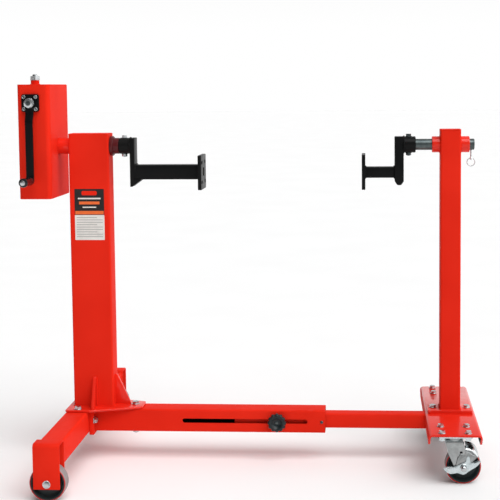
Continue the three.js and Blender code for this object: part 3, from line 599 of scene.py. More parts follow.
for sign in (-1, 1):
    for x in (-561.6, -548.4):
        welds.append(bead([(x, sign * 40, foot_z1 + 0.4), (x, sign * 82, foot_z1 + 0.4)], 1.9))
        welds.append(bead([(x, sign * 38.6, foot_z1 + 4), (x, sign * 38.6, foot_z1 + 104)], 1.9))
    welds.append(bead([(-488, sign * 6.4, foot_z1 + 0.4), (-438, sign * 6.4, foot_z1 + 0.4)], 1.9))
    welds.append(bead([(-489, sign * 6.4, foot_z1 + 4), (-489, sign * 6.4, foot_z1 + 104)], 1.9))
    welds.append(bead([(-628, sign * 38.6, foot_z1 + 0.6), (-493, sign * 38.6, foot_z1 + 0.6)], 2.1))
for x in (-632, -489):
    welds.append(bead([(x, -36, foot_z1 + 0.6), (x, 36, foot_z1 + 0.6)], 2.1))
piece("post_foot_welds", merge(*welds), "base", RED)

for name, x, y in (("beam_bolt", -419, 0), ("leg_bolt_front", -608, -74), ("leg_bolt_rear", -608, 74)):
    head = aim(bolt_head(12.2, 14.5, 8.4), (x, y, foot_z1), (0, 0, 1), 14)
    nut = aim(nut_end(12.2, 13), (x, y, 102), (0, 0, -1))
    shank = rod("z", 98, foot_z1 + 1, x, y, 7.8, 0.5, 24)
    piece(f"{name}_set", merge(head, shank, nut), "base", ZINC, [name])

# ------------------------------------------------------------------ left post and bearing tube
(post_x0, post_y0, post_z0), (post_x1, post_y1, post_z1) = span("left_post")
piece(
    "left_post_tube", capped_tube("z", post_z0, post_z1, post_x0, post_x1, post_y0, post_y1, 5, 6), "base", RED,
    ["left_post"], [rod("x", post_x0 - 5, post_x1 + 5, 0, AXIS_Z, 28.4, 0)],
)
(tube_x0, _, _), (tube_x1, _, _) = span("bearing_tube")
piece("bearing_tube_turned", pipe("x", tube_x0, post_x1 - 3, 0, AXIS_Z, 28, 22.4, 1.0, 64), "base", GLOSS, ["bearing_tube"])
# The nose, its ring and the ring's weld are deep maroon: painted shade where an engine would shadow the tube.
piece("bearing_tube_nose", pipe("x", post_x1 - 2.9, tube_x1, 0, AXIS_Z, 28, 22.4, 1.0, 64), "base", ENGINE_SHADE_RED)
collar = [(-489.6, 28.2), (-489.6, 33), (-488.4, 34.3), (-480, 34.5), (-478.4, 33), (-478, 28.2)]
piece("bearing_tube_ring", lathe(collar, "x", 0, AXIS_Z, 64, closed=True), "base", ENGINE_SHADE_RED)
tube_welds = merge(
    bead(circle("x", -671.3, 0, AXIS_Z, 28.8), 1.6, True),
    bead(circle("x", post_x0 - 0.8, 0, AXIS_Z, 28.8), 1.6, True),
)
piece("bearing_tube_welds", tube_welds, "base", RED)
piece("bearing_ring_weld", bead(circle("x", post_x1 + 12.6, 0, AXIS_Z, 28.8), 1.5, True), "base", ENGINE_SHADE_RED)
cap_weld = rectangle(post_x0 + 1.5, post_x1 - 1.5, post_y0 + 1.5, post_y1 - 1.5, 5, 3)
piece("left_post_cap_weld", bead([(x, y, post_z1 - 1.2) for x, y in cap_weld], 1.7, closed=True), "base", RED)

# Plain label panels with no lettering.
LABEL_X0, LABEL_X1 = -613.0, -509.0


def panel(name, x0, x1, z0, z1, material, layer=0, r=1.5):
    front = post_y0 - 0.05 - 0.25 * layer
    piece(name, prism(rectangle(x0, x1, z0, z1, r, 3), "y", front - 0.25, front, 0), "base", material)


panel("label_black", LABEL_X0, LABEL_X1, 871, 962, DECAL_BLACK, 0, 2)
panel("label_white", LABEL_X0, LABEL_X1, 783, 870.6, DECAL_WHITE, 0, 2)
panel("label_orange_band", LABEL_X0 + 2, LABEL_X1 - 2, 873, 885, DECAL_ORANGE, 1, 1)
panel("label_red_bar", LABEL_X0 + 25, LABEL_X1 - 25, 940, 955, RED, 1, 5)
panel("label_pale_bar", LABEL_X0 + 12, LABEL_X1 - 12, 926, 931, DECAL_WHITE, 1, 1)
panel("label_orange_bar", LABEL_X0 + 16, LABEL_X1 - 16, 908, 918, DECAL_ORANGE, 1, 1)
panel("label_thin_bar", LABEL_X0 + 28, LABEL_X1 - 28, 896, 900, DECAL_WHITE, 1, 1)
for row in range(9):
    right = LABEL_X1 - (6 if row % 3 else 26)
    panel(f"label_line_{row + 1}", LABEL_X0 + 6, right, 861 - row * 8.4, 863 - row * 8.4, DECAL_GREY, 1, 0.4)

# ------------------------------------------------------------------ gear case
(case_x0, case_y0, case_z0), (case_x1, _, case_z1) = span("gear_case")
cover_y0, cover_y1 = span("case_cover")[0][1], span("case_cover")[1][1]
outside = rounded([(case_x0, case_y0), (case_x1, case_y0), (case_x1, cover_y0 - 0.3), (case_x0, cover_y0 - 0.3)],
                  [16, 16, 0.8, 0.8], 10)
inside = rounded([(case_x0 + 5, case_y0 + 5), (case_x1 - 5, case_y0 + 5), (case_x1 - 5, cover_y0 + 8),
                  (case_x0 + 5, cover_y0 + 8)], [11, 11, 0, 0], 10)
WORM_X, WORM_Y, CRANK_Z = -735.0, -62.0, 1263.0
case_cuts = [
    prism(inside, "z", case_z0 + 5, case_z1 - 5, 0),
    rod("x", case_x1 - 12, case_x1 + 12, 0, AXIS_Z, 28.4, 0),
    rod("y", case_y0 - 12, case_y0 + 12, WORM_X, CRANK_Z, 9, 0, 24),
    rod("z", case_z1 - 12, case_z1 + 12, WORM_X, WORM_Y, 15, 0, 24),
]
piece("gear_case_shell", prism(outside, "z", case_z0, case_z1, 1.3, 3), "base", RED, ["gear_case"], case_cuts)
piece("case_cover_plate", prism(rectangle(case_x0, case_x1, case_z0, case_z1, 4), "y", cover_y0, cover_y1, 1.0),
      "base", RED, ["case_cover"])
screws = []
for z in (case_z0 + 14, (case_z0 + case_z1) / 2, case_z1 - 14):
    for x in (case_x0 + 12, case_x1 - 12):
        screws.append(aim(round_head(5.2, 3.0), (x, cover_y1 + 0.05, z), (0, 1, 0)))
piece("case_cover_screws", merge(*screws), "base", ZINC)

flange_y = span("crank_flange")[1][1]
face = flange_y - 11
plate = rectangle(WORM_X - 30, WORM_X + 30, CRANK_Z - 30, CRANK_Z + 30, 8)
boss = pipe("y", flange_y - 14, flange_y - 9, WORM_X, CRANK_Z, 17, 9, 0.8)
piece("crank_flange_plate", prism(plate, "y", face, flange_y, 1.6, 3), "base", BLACK, ["crank_flange"],
      [rod("y", -160, -100, WORM_X, CRANK_Z, 8.8, 0, 32)], [boss])
screws = []
for dx in (-20.5, 20.5):
    for dz in (-20.5, 20.5):
        screws.append(aim(slotted_head(6.0, 3.6), (WORM_X + dx, face - 0.05, CRANK_Z + dz), (0, -1, 0), 35))
piece("crank_flange_screws", merge(*screws), "base", ZINC)
sunk = [rod("y", face - 1.6, face - 0.1, WORM_X + dx, CRANK_Z + dz, 4.0, 0.2, 28) for dx in (-20.5, 20.5) for dz in (-20.5, 20.5)]
piece("crank_flange_screw_cores", merge(*sunk), "base", STEEL)

stub_z1 = span("worm_bearing")[1][2]
piece("worm_bearing_stub", pipe("z", case_z1 - 9, stub_z1, WORM_X, WORM_Y, 14.5, 8.8, 0.8), "base", RED, ["worm_bearing"])
cap_z0, cap_z1 = span("bearing_cap")[0][2], span("bearing_cap")[1][2]
cap = merge(
    aim(hexagon(0, 14.5, 17.6, both=True), (WORM_X, WORM_Y, cap_z0), (0, 0, 1), 20),
    lathe([(cap_z0 + 14, 0), (cap_z0 + 14, 8.5), (cap_z1 - 2, 8), (cap_z1 - 0.4, 6.5), (cap_z1, 4), (cap_z1, 0)],
          "z", WORM_X, WORM_Y, 32),
)
piece("bearing_cap_hex", cap, "base", ZINC, ["bearing_cap"])
piece("worm_bearing_weld", bead(circle("z", case_z1 + 0.6, WORM_X, WORM_Y, 15.2), 1.7, True), "base", RED)

# ------------------------------------------------------------------ crank
crank_y0, crank_y1 = span("crank_arm")[0][1], span("crank_arm")[1][1]
ARM_BACK, ARM_THICK, JOGGLE = crank_y1, 8.0, 10.0
ARM_END = CRANK_Z - 278


def crank_bar():
    """Flat bar with a joggle below the boss and round ends."""
    rings = []
    top, bottom = CRANK_Z + 15, ARM_END
    heights = [top - 15 * (1 - math.cos(math.radians(a))) for a in range(10, 91, 16)]
    heights += [CRANK_Z - 30, CRANK_Z - 36, CRANK_Z - 40, CRANK_Z - 56, CRANK_Z - 62, CRANK_Z - 70, bottom + 60]
    heights += [bottom + 13 * (1 - math.cos(math.radians(a))) for a in range(90, 9, -16)]
    for z in heights:
        drop = (CRANK_Z - 37 - z) / 24
        shift = JOGGLE * max(0.0, min(1.0, drop))
        width = 15 - 2 * max(0.0, min(1.0, (CRANK_Z - z) / 60))
        if z > CRANK_Z:
            width = math.sqrt(max(1, 15 ** 2 - (z - CRANK_Z) ** 2))
        if z < bottom + 13:
            width = math.sqrt(max(1, 13 ** 2 - (bottom + 13 - z) ** 2))
        shape = rectangle(-width, width, ARM_BACK - ARM_THICK - shift, ARM_BACK - shift, min(1.6, width * 0.5), 3)
        rings.append([(WORM_X + x, y, z) for x, y in shape])
    return skin(rings)


spindle = rod("y", crank_y0 + 3, ARM_BACK - JOGGLE - 2, WORM_X, CRANK_Z - 264, 6, 0.5, 24)
arm_bore = rod("y", ARM_BACK - 20, ARM_BACK + 6, WORM_X, CRANK_Z, 8.3, 0, 32)
piece("crank_arm_bar", crank_bar(), "crank", BLACK, ["crank_arm"], [arm_bore], [spindle])
rivet = lathe([(crank_y0, 0), (crank_y0, 7), (crank_y0 + 0.8, 8.6), (crank_y0 + 3.4, 9), (crank_y0 + 4.6, 8.4), (crank_y0 + 4.6, 0)],
              "y", WORM_X, CRANK_Z - 264, 40)
piece("crank_spindle_end", rivet, "crank", ZINC)
nut_back = ARM_BACK - ARM_THICK
nut = merge(
    aim(washer(0.1, 2.0, 16.8, 9), (WORM_X, nut_back, CRANK_Z), (0, -1, 0)),
    aim(hexagon(2.0, 12.0, 16.6, 8.6, both=True), (WORM_X, nut_back, CRANK_Z), (0, -1, 0), 8),
)
piece("crank_shaft_nut", nut, "crank", ZINC, ["crank_shaft"])
end_y = nut_back - 10.6
stub = [(-77, 0), (-77, 8), (nut_back - 1, 8), (end_y + 1.2, 8), (end_y, 6.9), (end_y, 3.2), (end_y + 2.6, 1.2), (end_y + 2.6, 0)]
piece("crank_shaft_turned", lathe(stub, "y", WORM_X, CRANK_Z, 40), "crank", STEEL)
grip_y0, grip_y1 = span("crank_grip")[0][1], span("crank_grip")[1][1]
body = [(grip_y0, 9.8), (grip_y0, 12.6), (grip_y0 + 0.9, 14.3), (grip_y0 + 3.4, 15.5), (grip_y0 + 7, 15.3)]
length = grip_y1 - grip_y0
for k in range(1, 12):
    t = grip_y0 + 7 + (length - 14) * k / 12
    body.append((t, 15.2 - 1.1 * math.sin(math.pi * k / 12)))
body += [(grip_y1 - 7, 15.2), (grip_y1 - 2, 15.3), (grip_y1, 13.6), (grip_y1, 6.6), (grip_y0 + 5.2, 6.6), (grip_y0 + 5.2, 9.8)]
piece("crank_grip_moulded", lathe(body, "y", WORM_X, CRANK_Z - 264, 48, closed=True), "grip", GRIP, ["crank_grip"])


# ------------------------------------------------------------------ engine adaptors
def face_plate(x0, vent_y, vent_z):
    """Slotted plate with round-ended slots and a window into the arm."""
    cutters = []
    for y in (-38, 38):
        for z in (984, 1052):
            ends = arc(y + 6.5, z, 6.5, -90, 90, 8) + arc(y - 6.5, z, 6.5, 90, 270, 8)
            cutters.append(prism(ends, "x", x0 - 5, x0 + 20, 0))
    cutters.append(prism(rectangle(-vent_y, vent_y, *vent_z, 3), "x", x0 - 3, x0 + 15, 0))
    return prism(rectangle(-60, 60, 958, 1078, 6), "x", x0, x0 + 12, 1.2), cutters


plate, holes = face_plate(-176, 14, (1004, 1033))
piece("left_face_plate", plate, "head", BLACK, ["left_adaptor"], holes)
upright = rounded([(-418, 968), (-411, 968), (-376, 994), (-402, 994), (-402, 1138), (-418, 1138)], [2, 2, 3, 0, 3, 3])
piece("left_adaptor_upright", prism(upright, "y", -28, 28, 1.2), "head", BLACK)
piece("left_adaptor_arm", square_tube("x", -401.5, -176.2, -25.5, 25.5, 993, 1044, 5, 5), "head", BLACK)
collar = [(-457.4, 19.8), (-457.4, 26.4), (-455.6, 28), (-419.5, 28), (-418.2, 27), (-418.2, 19.8)]
piece("left_adaptor_collar", lathe(collar, "x", 0, AXIS_Z, 64, closed=True), "head", BLACK)
arm_weld = rectangle(-26, 26, 992.5, 1044.5, 5, 4)
welds = merge(
    bead([(-400.8, y, z) for y, z in arm_weld], 2.4, True),
    bead([(-177.2, y, z) for y, z in arm_weld], 2.4, True),
    bead(circle("x", -418.9, 0, AXIS_Z, 28.6), 2.4, True),
)
piece("left_adaptor_welds", welds, "head", BLACK)

plate, holes = face_plate(388, 10, (1006, 1024))
piece("right_face_plate", plate, "idler", BLACK, ["right_adaptor"], holes)
upright = rounded([(501, 984), (510, 971), (523, 971), (532, 984), (532, 1138), (501, 1138)], [8, 7, 7, 8, 3, 3])
piece("right_adaptor_upright", prism(upright, "y", -26, 26, 1.2), "idler", BLACK)
piece("right_adaptor_arm", square_tube("x", 400.2, 500.6, -20, 20, 996, 1034, 5, 5), "idler", BLACK)
collar = [(532.3, 19.8), (532.3, 27), (533.5, 28), (571.2, 28), (573, 26.4), (573, 19.8)]
piece("right_adaptor_collar", lathe(collar, "x", 0, AXIS_Z, 64, closed=True), "idler", BLACK)
arm_weld = rectangle(-20.5, 20.5, 995.5, 1034.5, 5, 4)
welds = merge(
    bead([(499.8, y, z) for y, z in arm_weld], 2.4, True),
    bead([(401, y, z) for y, z in arm_weld], 2.4, True),
    bead(circle("x", 533.0, 0, AXIS_Z, 28.6), 2.4, True),
)
piece("right_adaptor_welds", welds, "idler", BLACK)


def clamp_bolts(name, x, body, metal_kind):
    """A bolt down through the collar and shaft, with its nut below."""
    shape = merge(
        aim(bolt_head(9.2, 10.6, 7.5), (x, 0, AXIS_Z + 27.4), (0, 0, 1), 15),
        aim(nut_end(9.2, 9.5), (x, 0, AXIS_Z - 27.4), (0, 0, -1), 20),
    )
    piece(name, shape, body, metal_kind)


clamp_bolts("left_clamp_bolt", -441, "head", ZINC)
clamp_bolts("right_clamp_bolt", 549, "idler", STEEL)

# ------------------------------------------------------------------ sliding half
(in_x0, in_y0, in_z0), (in_x1, in_y1, in_z1) = span("inner_tube")
inner_beam = piece(
    "inner_beam_tube", square_tube("x", in_x0, in_x1, in_y0, in_y1, in_z0, in_z1, 4, 5), "slider", RED, ["inner_tube"],
    [rod("y", in_y0 - 6, in_y0 + 8, 89, BEAM_Z, 8.3, 0, 24)],
)
paint_bore_shade(inner_beam, 22.0)
CHANNEL_X, CHANNEL_Y, CHANNEL_HALF, CHANNEL_TOP = 692.0, 20.0, 310.0, 175.0
outline = folded_profile(CHANNEL_X - 88, CHANNEL_X + 88, 138, CHANNEL_TOP, 7, 12)
corner = [(-CHANNEL_HALF - 2, 136), (-CHANNEL_HALF + 25, 136), (-CHANNEL_HALF - 2, 163)]
corner_cuts = [prism([(CHANNEL_Y + s * y, z) for y, z in corner], "x", CHANNEL_X - 120, CHANNEL_X + 120, 0) for s in (1, -1)]
notch = prism([(-26, 120), (26, 120), (26, 168), (-26, 168)], "x", CHANNEL_X - 92, CHANNEL_X - 75, 0)
channel = piece("right_channel_folded", prism(outline, "y", CHANNEL_Y - CHANNEL_HALF, CHANNEL_Y + CHANNEL_HALF, 1.6), "slider", GLOSS,
      ["right_channel"], [*corner_cuts, notch])
# Inner and under faces of the channel take the near-black bore colour: painted shade under the channel.
channel.data.materials.append(BORE_SHADE)
channel.data.materials.append(RED)
for side in channel.data.polygons:
    c = side.center / MM + MIDDLE
    if abs(c.x - CHANNEL_X) < 82 and c.z < CHANNEL_TOP - 6 and abs(side.normal.y) < 0.5:
        side.material_index = 1
    elif side.normal.x < -0.7:
        side.material_index = 2

(rf_x0, rf_y0, rf_z0), (rf_x1, rf_y1, rf_z1) = span("foot_plate")
piece("right_foot_plate", prism(rectangle(rf_x0, rf_x1, rf_y0, rf_y1, 5), "z", rf_z0, rf_z1, 1.6, 3), "slider", GLOSS, ["foot_plate"])
(rp_x0, rp_y0, rp_z0), (rp_x1, rp_y1, rp_z1) = span("right_post")
piece(
    "right_post_tube", capped_tube("z", rp_z0, rp_z1, rp_x0, rp_x1, rp_y0, rp_y1, 5, 5), "slider", RED, ["right_post"],
    [rod("x", rp_x0 - 5, rp_x1 + 5, 0, AXIS_Z, 28.4, 0)],
)
sl_x0, sl_x1 = span("idler_sleeve")[0][0], span("idler_sleeve")[1][0]
piece("idler_sleeve_turned", pipe("x", sl_x0, sl_x1, 0, AXIS_Z, 28, 20, 1.4, 64), "slider", GLOSS, ["idler_sleeve"])
foot_weld = rectangle(rp_x0 - 1.2, rp_x1 + 1.2, rp_y0 - 1.2, rp_y1 + 1.2, 5, 4)
cap_weld = rectangle(rp_x0 + 1.5, rp_x1 - 1.5, rp_y0 + 0.6, rp_y1 - 0.6, 5, 3)
plate_weld = [[(rf_x0 + 8, y, rf_z0 + 0.6), (rf_x1 - 8, y, rf_z0 + 0.6)] for y in (rf_y0 - 0.6, rf_y1 + 0.6)]
welds = merge(
    bead([(x, y, rf_z1 + 0.6) for x, y in foot_weld], 2.2, True),
    bead([(x, y, rp_z1 - 1.2) for x, y in cap_weld], 1.8, True),
    bead(circle("x", rp_x0 - 0.8, 0, AXIS_Z, 28.8), 1.8, True),
    bead(circle("x", rp_x1 + 0.8, 0, AXIS_Z, 28.8), 1.8, True),
    *[bead(line, 1.7) for line in plate_weld],
)
piece("right_post_welds", welds, "slider", RED)
for name, x in (("foot_bolt_inner", CHANNEL_X - 58.5), ("foot_bolt_outer", CHANNEL_X + 58.5)):
    shape = merge(
        aim(bolt_head(11.2, 13.2, 7.6), (x, 0, rf_z1), (0, 0, 1), 10),
        rod("z", in_z0 - 2, rf_z1 + 1, x, 0, 5.9, 0.5, 24),
        aim(nut_end(11.2, 11), (x, 0, in_z0), (0, 0, -1)),
    )
    piece(f"{name}_set", shape, "slider", ZINC, [name])

(sh_x0, _, _), (sh_x1, _, _) = span("idler_shaft")
PIN_X = 763.0
piece("idler_shaft_turned", rod("x", sh_x0, sh_x1, 0, AXIS_Z, 19.3, 1.6, 64), "idler", STEEL, ["idler_shaft"],
      [rod("z", AXIS_Z - 30, AXIS_Z + 30, PIN_X, 0, 4.4, 0, 24)])
pin_z0, pin_z1 = span("retaining_pin")[0][2], span("retaining_pin")[1][2]
eye_z = pin_z0 + 5.5
pin = lathe([(pin_z1, 0), (pin_z1, 3), (pin_z1 - 1, 3.9), (AXIS_Z - 21.5, 3.9), (AXIS_Z - 22.5, 2.4), (pin_z0 + 11, 2.2),
             (pin_z0 + 9, 3.0), (pin_z0 + 5.5, 4.6), (pin_z0 + 1.5, 3.4), (pin_z0, 1.6), (pin_z0, 0)], "z", PIN_X, 0, 32)
piece("retaining_pin_turned", pin, "pin", ZINC, ["retaining_pin"], [rod("x", PIN_X - 9, PIN_X + 9, 0, eye_z, 2.8, 0, 24)])


def ring_shape(x, z, big, small):
    rows = []
    for i in range(64):
        a = 2 * math.pi * i / 64
        rows.append([
            (x + (big + small * math.cos(b)) * math.cos(a), small * math.sin(b), z + (big + small * math.cos(b)) * math.sin(a))
            for b in (2 * math.pi * k / 12 for k in range(12))
        ])
    return skin(rows, closed=True)


piece("pull_ring_wire", ring_shape(PIN_X, eye_z - 13.1, 13.5, 1.4), "ring", ZINC, ["pull_ring"])

# Clamp knob: scalloped rim and a dished face.
KNOB_X, KNOB_R = 89.0, 33.0
knob_y0, knob_y1 = span("clamp_knob")[0][1], span("clamp_knob")[1][1]
LOBES = 12


def scallop(r, angle):
    amount = max(0.0, min(1.0, (r - 20) / 10))
    return r * (1 - 0.11 * amount * (0.5 - 0.5 * math.cos(LOBES * angle)) ** 1.6)


front = knob_y0
profile = [(front + 9.5, 0), (front + 9.2, 7), (front + 8.0, 12), (front + 5.2, 16), (front + 1.4, 19), (front, 22.5),
           (front + 0.9, 28.5), (front + 3.4, 31.6), (front + 7, KNOB_R), (front + 13, KNOB_R), (front + 17, 31.8),
           (front + 19.4, 28.8), (front + 20, 24), (front + 20, 15), (-41.5, 13.5), (-40.4, 12.5), (-40.4, 0)]
knob = lathe(profile, "y", KNOB_X, BEAM_Z, 120, radius_at=scallop)
piece("clamp_knob_moulded", knob, "knob", PLASTIC, ["clamp_knob"])
stud = merge(
    rod("y", -41, knob_y1, KNOB_X, BEAM_Z, 7.5, 0.8, 32),
    lathe([(front + 10.0, 0), (front + 10.0, 5.2), (front + 8.9, 5.0), (front + 8.5, 4.2), (front + 8.4, 0)], "y", KNOB_X, BEAM_Z, 32),
)
piece("clamp_knob_stud", stud, "knob", STEEL)
piece("guide_screw", aim(round_head(5.6, 3.6), (245, -40.05, BEAM_Z - 1), (0, -1, 0)), "base", STEEL)


# ------------------------------------------------------------------ casters
def smooth_loop(corners, steps=4):
    """A closed curve through the corners (Catmull-Rom)."""
    points = []
    count = len(corners)
    for i in range(count):
        p0, p1, p2, p3 = (Vector(corners[(i + k) % count]) for k in (-1, 0, 1, 2))
        for k in range(steps):
            t = k / steps
            points.append(tuple(0.5 * (
                2 * p1 + (p2 - p0) * t + (2 * p0 - 5 * p1 + 4 * p2 - p3) * t * t + (3 * p1 - p0 - 3 * p2 + p3) * t ** 3
            )))
    return points


CASTER_Y, TRAIL = 250.0, 28.0
CROWN_TOP = 155.4
LEVER = [
    (-67, 0), (-57, -14), (-44, -20), (-32, -19), (-20, -17), (-10, -20), (-1, -22), (7, -19), (13, -14), (19, -10),
    (26, -5), (38, 2), (47, 10), (53, 19), (51, 25), (44, 25), (37, 22), (30, 19), (23, 18), (21, 25), (19, 36), (14, 40),
    (9.5, 36), (8.5, 27), (6, 22), (0, 19), (-11, 14), (-22, 8), (-33, 4), (-42, 2.5), (-52, 1.5), (-60, 1.5),
]
BRACKET = [
    (-25, 4), (-16, 37), (-6, 40), (5, 41), (6.5, 53), (11, 56), (25, 49), (44, 39), (37, 28), (28, 18), (19, 11), (0, -6),
    (-15, -6),
]
HOOD = [(84, 56, 73), (75, 56, 73.5), (66, 54, 74), (57, 53, 73), (49, 54.5, 70), (42, 57, 66), (37, 59, 62)]


def caster(end, sign):
    cx, cy = CHANNEL_X, CHANNEL_Y + sign * CASTER_Y
    ax = cx + TRAIL
    body = f"{end}_caster"
    top = CHANNEL_TOP - 7.3
    outline = rectangle(cx - 56, cx + 56, cy - 51, cy + 51, 8)
    race = [(155.9, 14), (155.9, 27), (157.5, 30), (160, 30), (161.8, 27), (161.8, 14)]
    parts = [prism(outline, "z", top - 6, top, 0.8)]
    heads = []
    for dx in (-43, 43):
        for dy in (-38, 38):
            parts.append(aim(nut_end(10.2, 9), (cx + dx, cy + dy, top - 6), (0, 0, -1), 10))
            turn = 8 + 7 * dx / 43 * dy / 38
            heads.append(aim(bolt_head(10.4, 12, 7.4), (cx + dx, cy + dy, CHANNEL_TOP), (0, 0, 1), turn))
    piece(f"{end}_caster_plate_set", merge(*parts), "slider", BRIGHT, [f"{end}_caster_plate"])
    # The race takes the dark oiled steel: painted shade in the gap between plate and yoke.
    piece(f"{end}_caster_race_shade", lathe(race, "z", cx, cy, 56, closed=True), "slider", STEEL)
    piece(f"{end}_caster_bolts", merge(*heads), "slider", ZINC)

    # Pressed yoke: an arch over the wheel whose legs taper towards the axle.
    profile = folded_profile(-32, 32, 44, CROWN_TOP - 4, 4.2, 11)
    yoke = prism([(cy + y, z) for y, z in profile], "x", cx - 34, cx + 46, 0.7)
    back = rounded([(cx - 70, 30), (ax - 28, 30), (ax - 32, 65), (ax - 51, 108), (ax - 59, 140), (ax - 59, 170),
                    (cx - 70, 170)], [0, 0, 10, 10, 6, 0, 0])
    fore = rounded([(cx + 80, 30), (ax + 15, 30), (ax + 15, 90), (ax + 6, 103), (ax + 7, 122), (ax - 3, 146), (ax - 3, 170),
                    (cx + 80, 170)], [0, 0, 6, 6, 10, 6, 0, 0])
    crease = [(ax - 19, 96), (ax - 16, 96), (ax - 25, 60), (ax - 28, 60)]
    cuts = [prism(shape, "y", cy - 60, cy + 60, 0) for shape in (back, fore)]
    cuts.append(rod("y", cy - 60, cy + 60, ax, WHEEL_Z, 5.6, 0, 24))
    cuts.append(prism(rectangle(ax - 12, ax - 3, 106, 113, 1.5, 3), "y", cy - 60, cy - 20, 0))
    cuts.append(prism(crease, "y", cy - 60, cy - 20, 0))
    dish = [(CROWN_TOP - 12, 0), (CROWN_TOP - 12, 25), (CROWN_TOP - 9, 30), (CROWN_TOP - 3, 30), (CROWN_TOP - 0.4, 28),
            (CROWN_TOP, 24), (CROWN_TOP, 0)]
    piece(f"{end}_yoke_pressed", yoke, body, PRESSED, [f"{end}_caster_yoke"], cuts)
    piece(f"{end}_yoke_crown", lathe(dish, "z", cx, cy, 56), body, PRESSED)

    # Brake housing: a hood curved over the wheel and a flat cheek beside the front leg.
    near = cy - 32
    rings = []
    for angle, front_r, top_r in HOOD:
        path = [(near - 4, front_r), (near + 0.6, min(front_r + 9.5, top_r - 2)), (cy - 26, top_r - 4), (cy - 16, top_r - 1),
                (cy - 4, top_r), (cy + 24, top_r)]
        a = math.radians(angle)
        loop = path + [(y + (1.2 if y < near + 2 else 0), r - 2.2) for y, r in path[::-1]]
        rings.append([(ax + r * math.cos(a), y, WHEEL_Z + r * math.sin(a)) for y, r in loop])
    cheek = prism([(ax + x, WHEEL_Z + z) for x, z in smooth_loop(BRACKET)], "y", near - 2.5, near - 0.4, 0.5)
    piece(f"{end}_yoke_hood", soften(skin(rings), 0.5, 1), body, ZINC)
    piece(f"{end}_yoke_cheek", merge(cheek, aim(round_head(3.6, 2.4, False), (ax - 9.5, near - 0.4, 102), (0, -1, 0))), body, PRESSED)

    wheel(f"{end}_caster_wheel", ax, cy, f"{end}_caster_wheel", f"{end}_caster_core", f"{end}_caster_tread")
    axle = merge(
        rod("y", near - 8, cy + 34, ax, WHEEL_Z, 5, 0.5, 24),
        aim(hexagon(0, 5.5, 12.4, both=True), (ax, near - 7.4, WHEEL_Z), (0, -1, 0), 12),
        aim(lathe([(5, 0), (5, 9.4), (8, 9.2), (11, 7.4), (13, 4), (13.6, 0)], "z", 0, 0, 32), (ax, near - 7.4, WHEEL_Z), (0, -1, 0)),
        aim(bolt_head(9.4, 11, 6), (ax, cy + 32, WHEEL_Z), (0, 1, 0)),
    )
    piece(f"{end}_caster_axle_set", axle, body, ZINC, [f"{end}_caster_axle"])

    # Foot lever: a smooth pressed plate on a hub, with a lip turned out along each wing.
    shape = [(ax + x, WHEEL_Z + z) for x, z in smooth_loop(LEVER)]
    lips = [
        prism(smooth_loop([(ax - 61, WHEEL_Z + 1), (ax - 50, WHEEL_Z + 4.5), (ax - 38, WHEEL_Z + 4), (ax - 38, WHEEL_Z + 6.4),
                           (ax - 50, WHEEL_Z + 7.2), (ax - 61, WHEEL_Z + 4)], 3), "y", near - 16, near - 5, 0.4),
        prism(smooth_loop([(ax + 36, WHEEL_Z + 17), (ax + 46, WHEEL_Z + 21), (ax + 54, WHEEL_Z + 23.5), (ax + 54, WHEEL_Z + 26),
                           (ax + 45, WHEEL_Z + 24), (ax + 35, WHEEL_Z + 20)], 3), "y", near - 16, near - 5, 0.4),
    ]
    ring = pipe("y", near - 7.2, near - 2.8, ax, WHEEL_Z, 13.5, 5.8, 1.4)
    piece(f"{end}_brake_wings", prism(shape, "y", near - 6.2, near - 2.8, 1.0), f"{end}_brake", BRIGHT,
          [f"{end}_brake_lever"], [rod("y", near - 12, near + 3, ax, WHEEL_Z, 5.8, 0, 24)])
    piece(f"{end}_brake_boss", merge(ring, *lips), f"{end}_brake", BRIGHT)


caster("front", -1)
caster("rear", 1)

# ------------------------------------------------------------------ CAD nodes that stay
KEPT = {
    BRONZE: ["bush_left", "bush_right", "worm_wheel"],
    STEEL: ["worm_footstep", "worm_shaft", "worm_mitre", "crank_mitre", "main_shaft"],
    PLASTIC: ["guide_sleeve"],
}
for material, nodes in KEPT.items():
    for node in nodes:
        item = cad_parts[node]
        item.data.materials.clear()
        item.data.materials.append(material)
        item.data.polygons.foreach_set("use_smooth", [True] * len(item.data.polygons))
        item.data.set_sharp_from_angle(angle=SHARP)


# ------------------------------------------------------------------ floor, light and camera
def floor():
    material, tree, shader = new_material("pale_floor")
    where = position(tree)
    tone = spread(tree, noise(tree, where, 1.5, 3), 0, 1)
    shade = blend_colours(tree, tone, (0.93, 0.93, 0.93), (0.91, 0.91, 0.91))
    set_sockets(tree, shader, Base_Color=shade, Roughness=0.8, Specular_IOR_Level=0.2)
    bm = bmesh.new()
    bmesh.ops.create_grid(bm, x_segments=1, y_segments=1, size=60)
    mesh = bpy.data.meshes.new("floor")
    bm.to_mesh(mesh)
    bm.free()
    mesh.materials.append(material)
    item = bpy.data.objects.new("floor", mesh)
    bpy.context.scene.collection.objects.link(item)


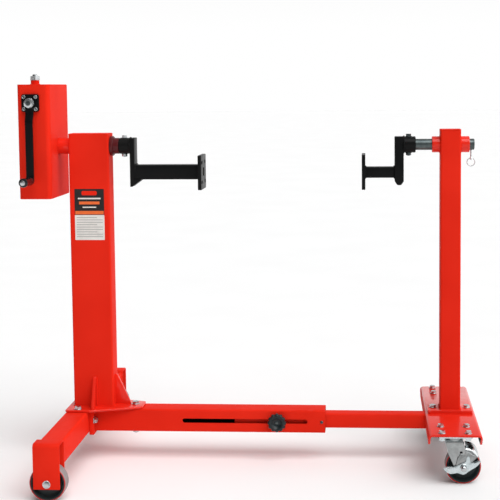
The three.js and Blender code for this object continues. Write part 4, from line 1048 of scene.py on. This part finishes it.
def soft_sun(name, towards, strength, angle):
    """A wide studio lamp far away; towards points from the stand to the lamp."""
    light = bpy.data.lights.new(name, "SUN")
    light.energy = strength
    light.angle = math.radians(angle)
    item = bpy.data.objects.new(name, light)
    item.rotation_euler = Vector(towards).to_track_quat("Z", "Y").to_euler()
    bpy.context.scene.collection.objects.link(item)


def sky():
    """A pale studio room: brightest low behind the stand, dimmer overhead and behind the camera."""
    world = bpy.data.worlds.new("studio")
    bpy.context.scene.world = world
    world.use_nodes = True
    tree = world.node_tree
    way = add_node(tree, "ShaderNodeTexCoord").outputs["Generated"]
    parts = add_node(tree, "ShaderNodeSeparateXYZ", {"Vector": way})
    height = spread(tree, parts.outputs["Z"], 1.0, 0.66, 0.05, 0.6)
    depth = spread(tree, parts.outputs["Y"], 0.2, 1.0, -0.6, 0.4)
    side = spread(tree, parts.outputs["X"], 0.05, 1.0, -0.72, -0.34)
    amount = add_node(tree, "ShaderNodeMath", {0: height, 1: depth}, operation="MULTIPLY").outputs[0]
    amount = add_node(tree, "ShaderNodeMath", {0: amount, 1: side}, operation="MULTIPLY").outputs[0]
    background = tree.nodes["Background"]
    background.inputs["Color"].default_value = (1.0, 1.0, 1.0, 1)
    tree.links.new(amount, background.inputs["Strength"])


def camera():
    data = bpy.data.cameras.new("camera")
    data.lens = 83.26
    data.sensor_width = 36.0
    data.shift_x, data.shift_y = -0.10, -0.14
    data.clip_start, data.clip_end = 0.05, 200.0
    item = bpy.data.objects.new("camera", data)
    forward = Vector((-0.05866, 0.99507, -0.07995)).normalized()
    right = Vector((0.99828, 0.05824, -0.00759))
    right = (right - forward * right.dot(forward)).normalized()
    up = right.cross(forward)
    matrix = Matrix((right, up, -forward)).transposed().to_4x4()
    matrix.translation = (0.411, -4.0357, 1.3095)
    item.matrix_world = matrix
    bpy.context.scene.collection.objects.link(item)
    bpy.context.scene.camera = item


floor()
sky()
soft_sun("key", (0.5, -0.9, 1.7), 2.05, 45)
soft_sun("side", (1.0, -0.25, 0.6), 1.05, 60)
camera()
bpy.context.scene.view_settings.view_transform = "Standard"
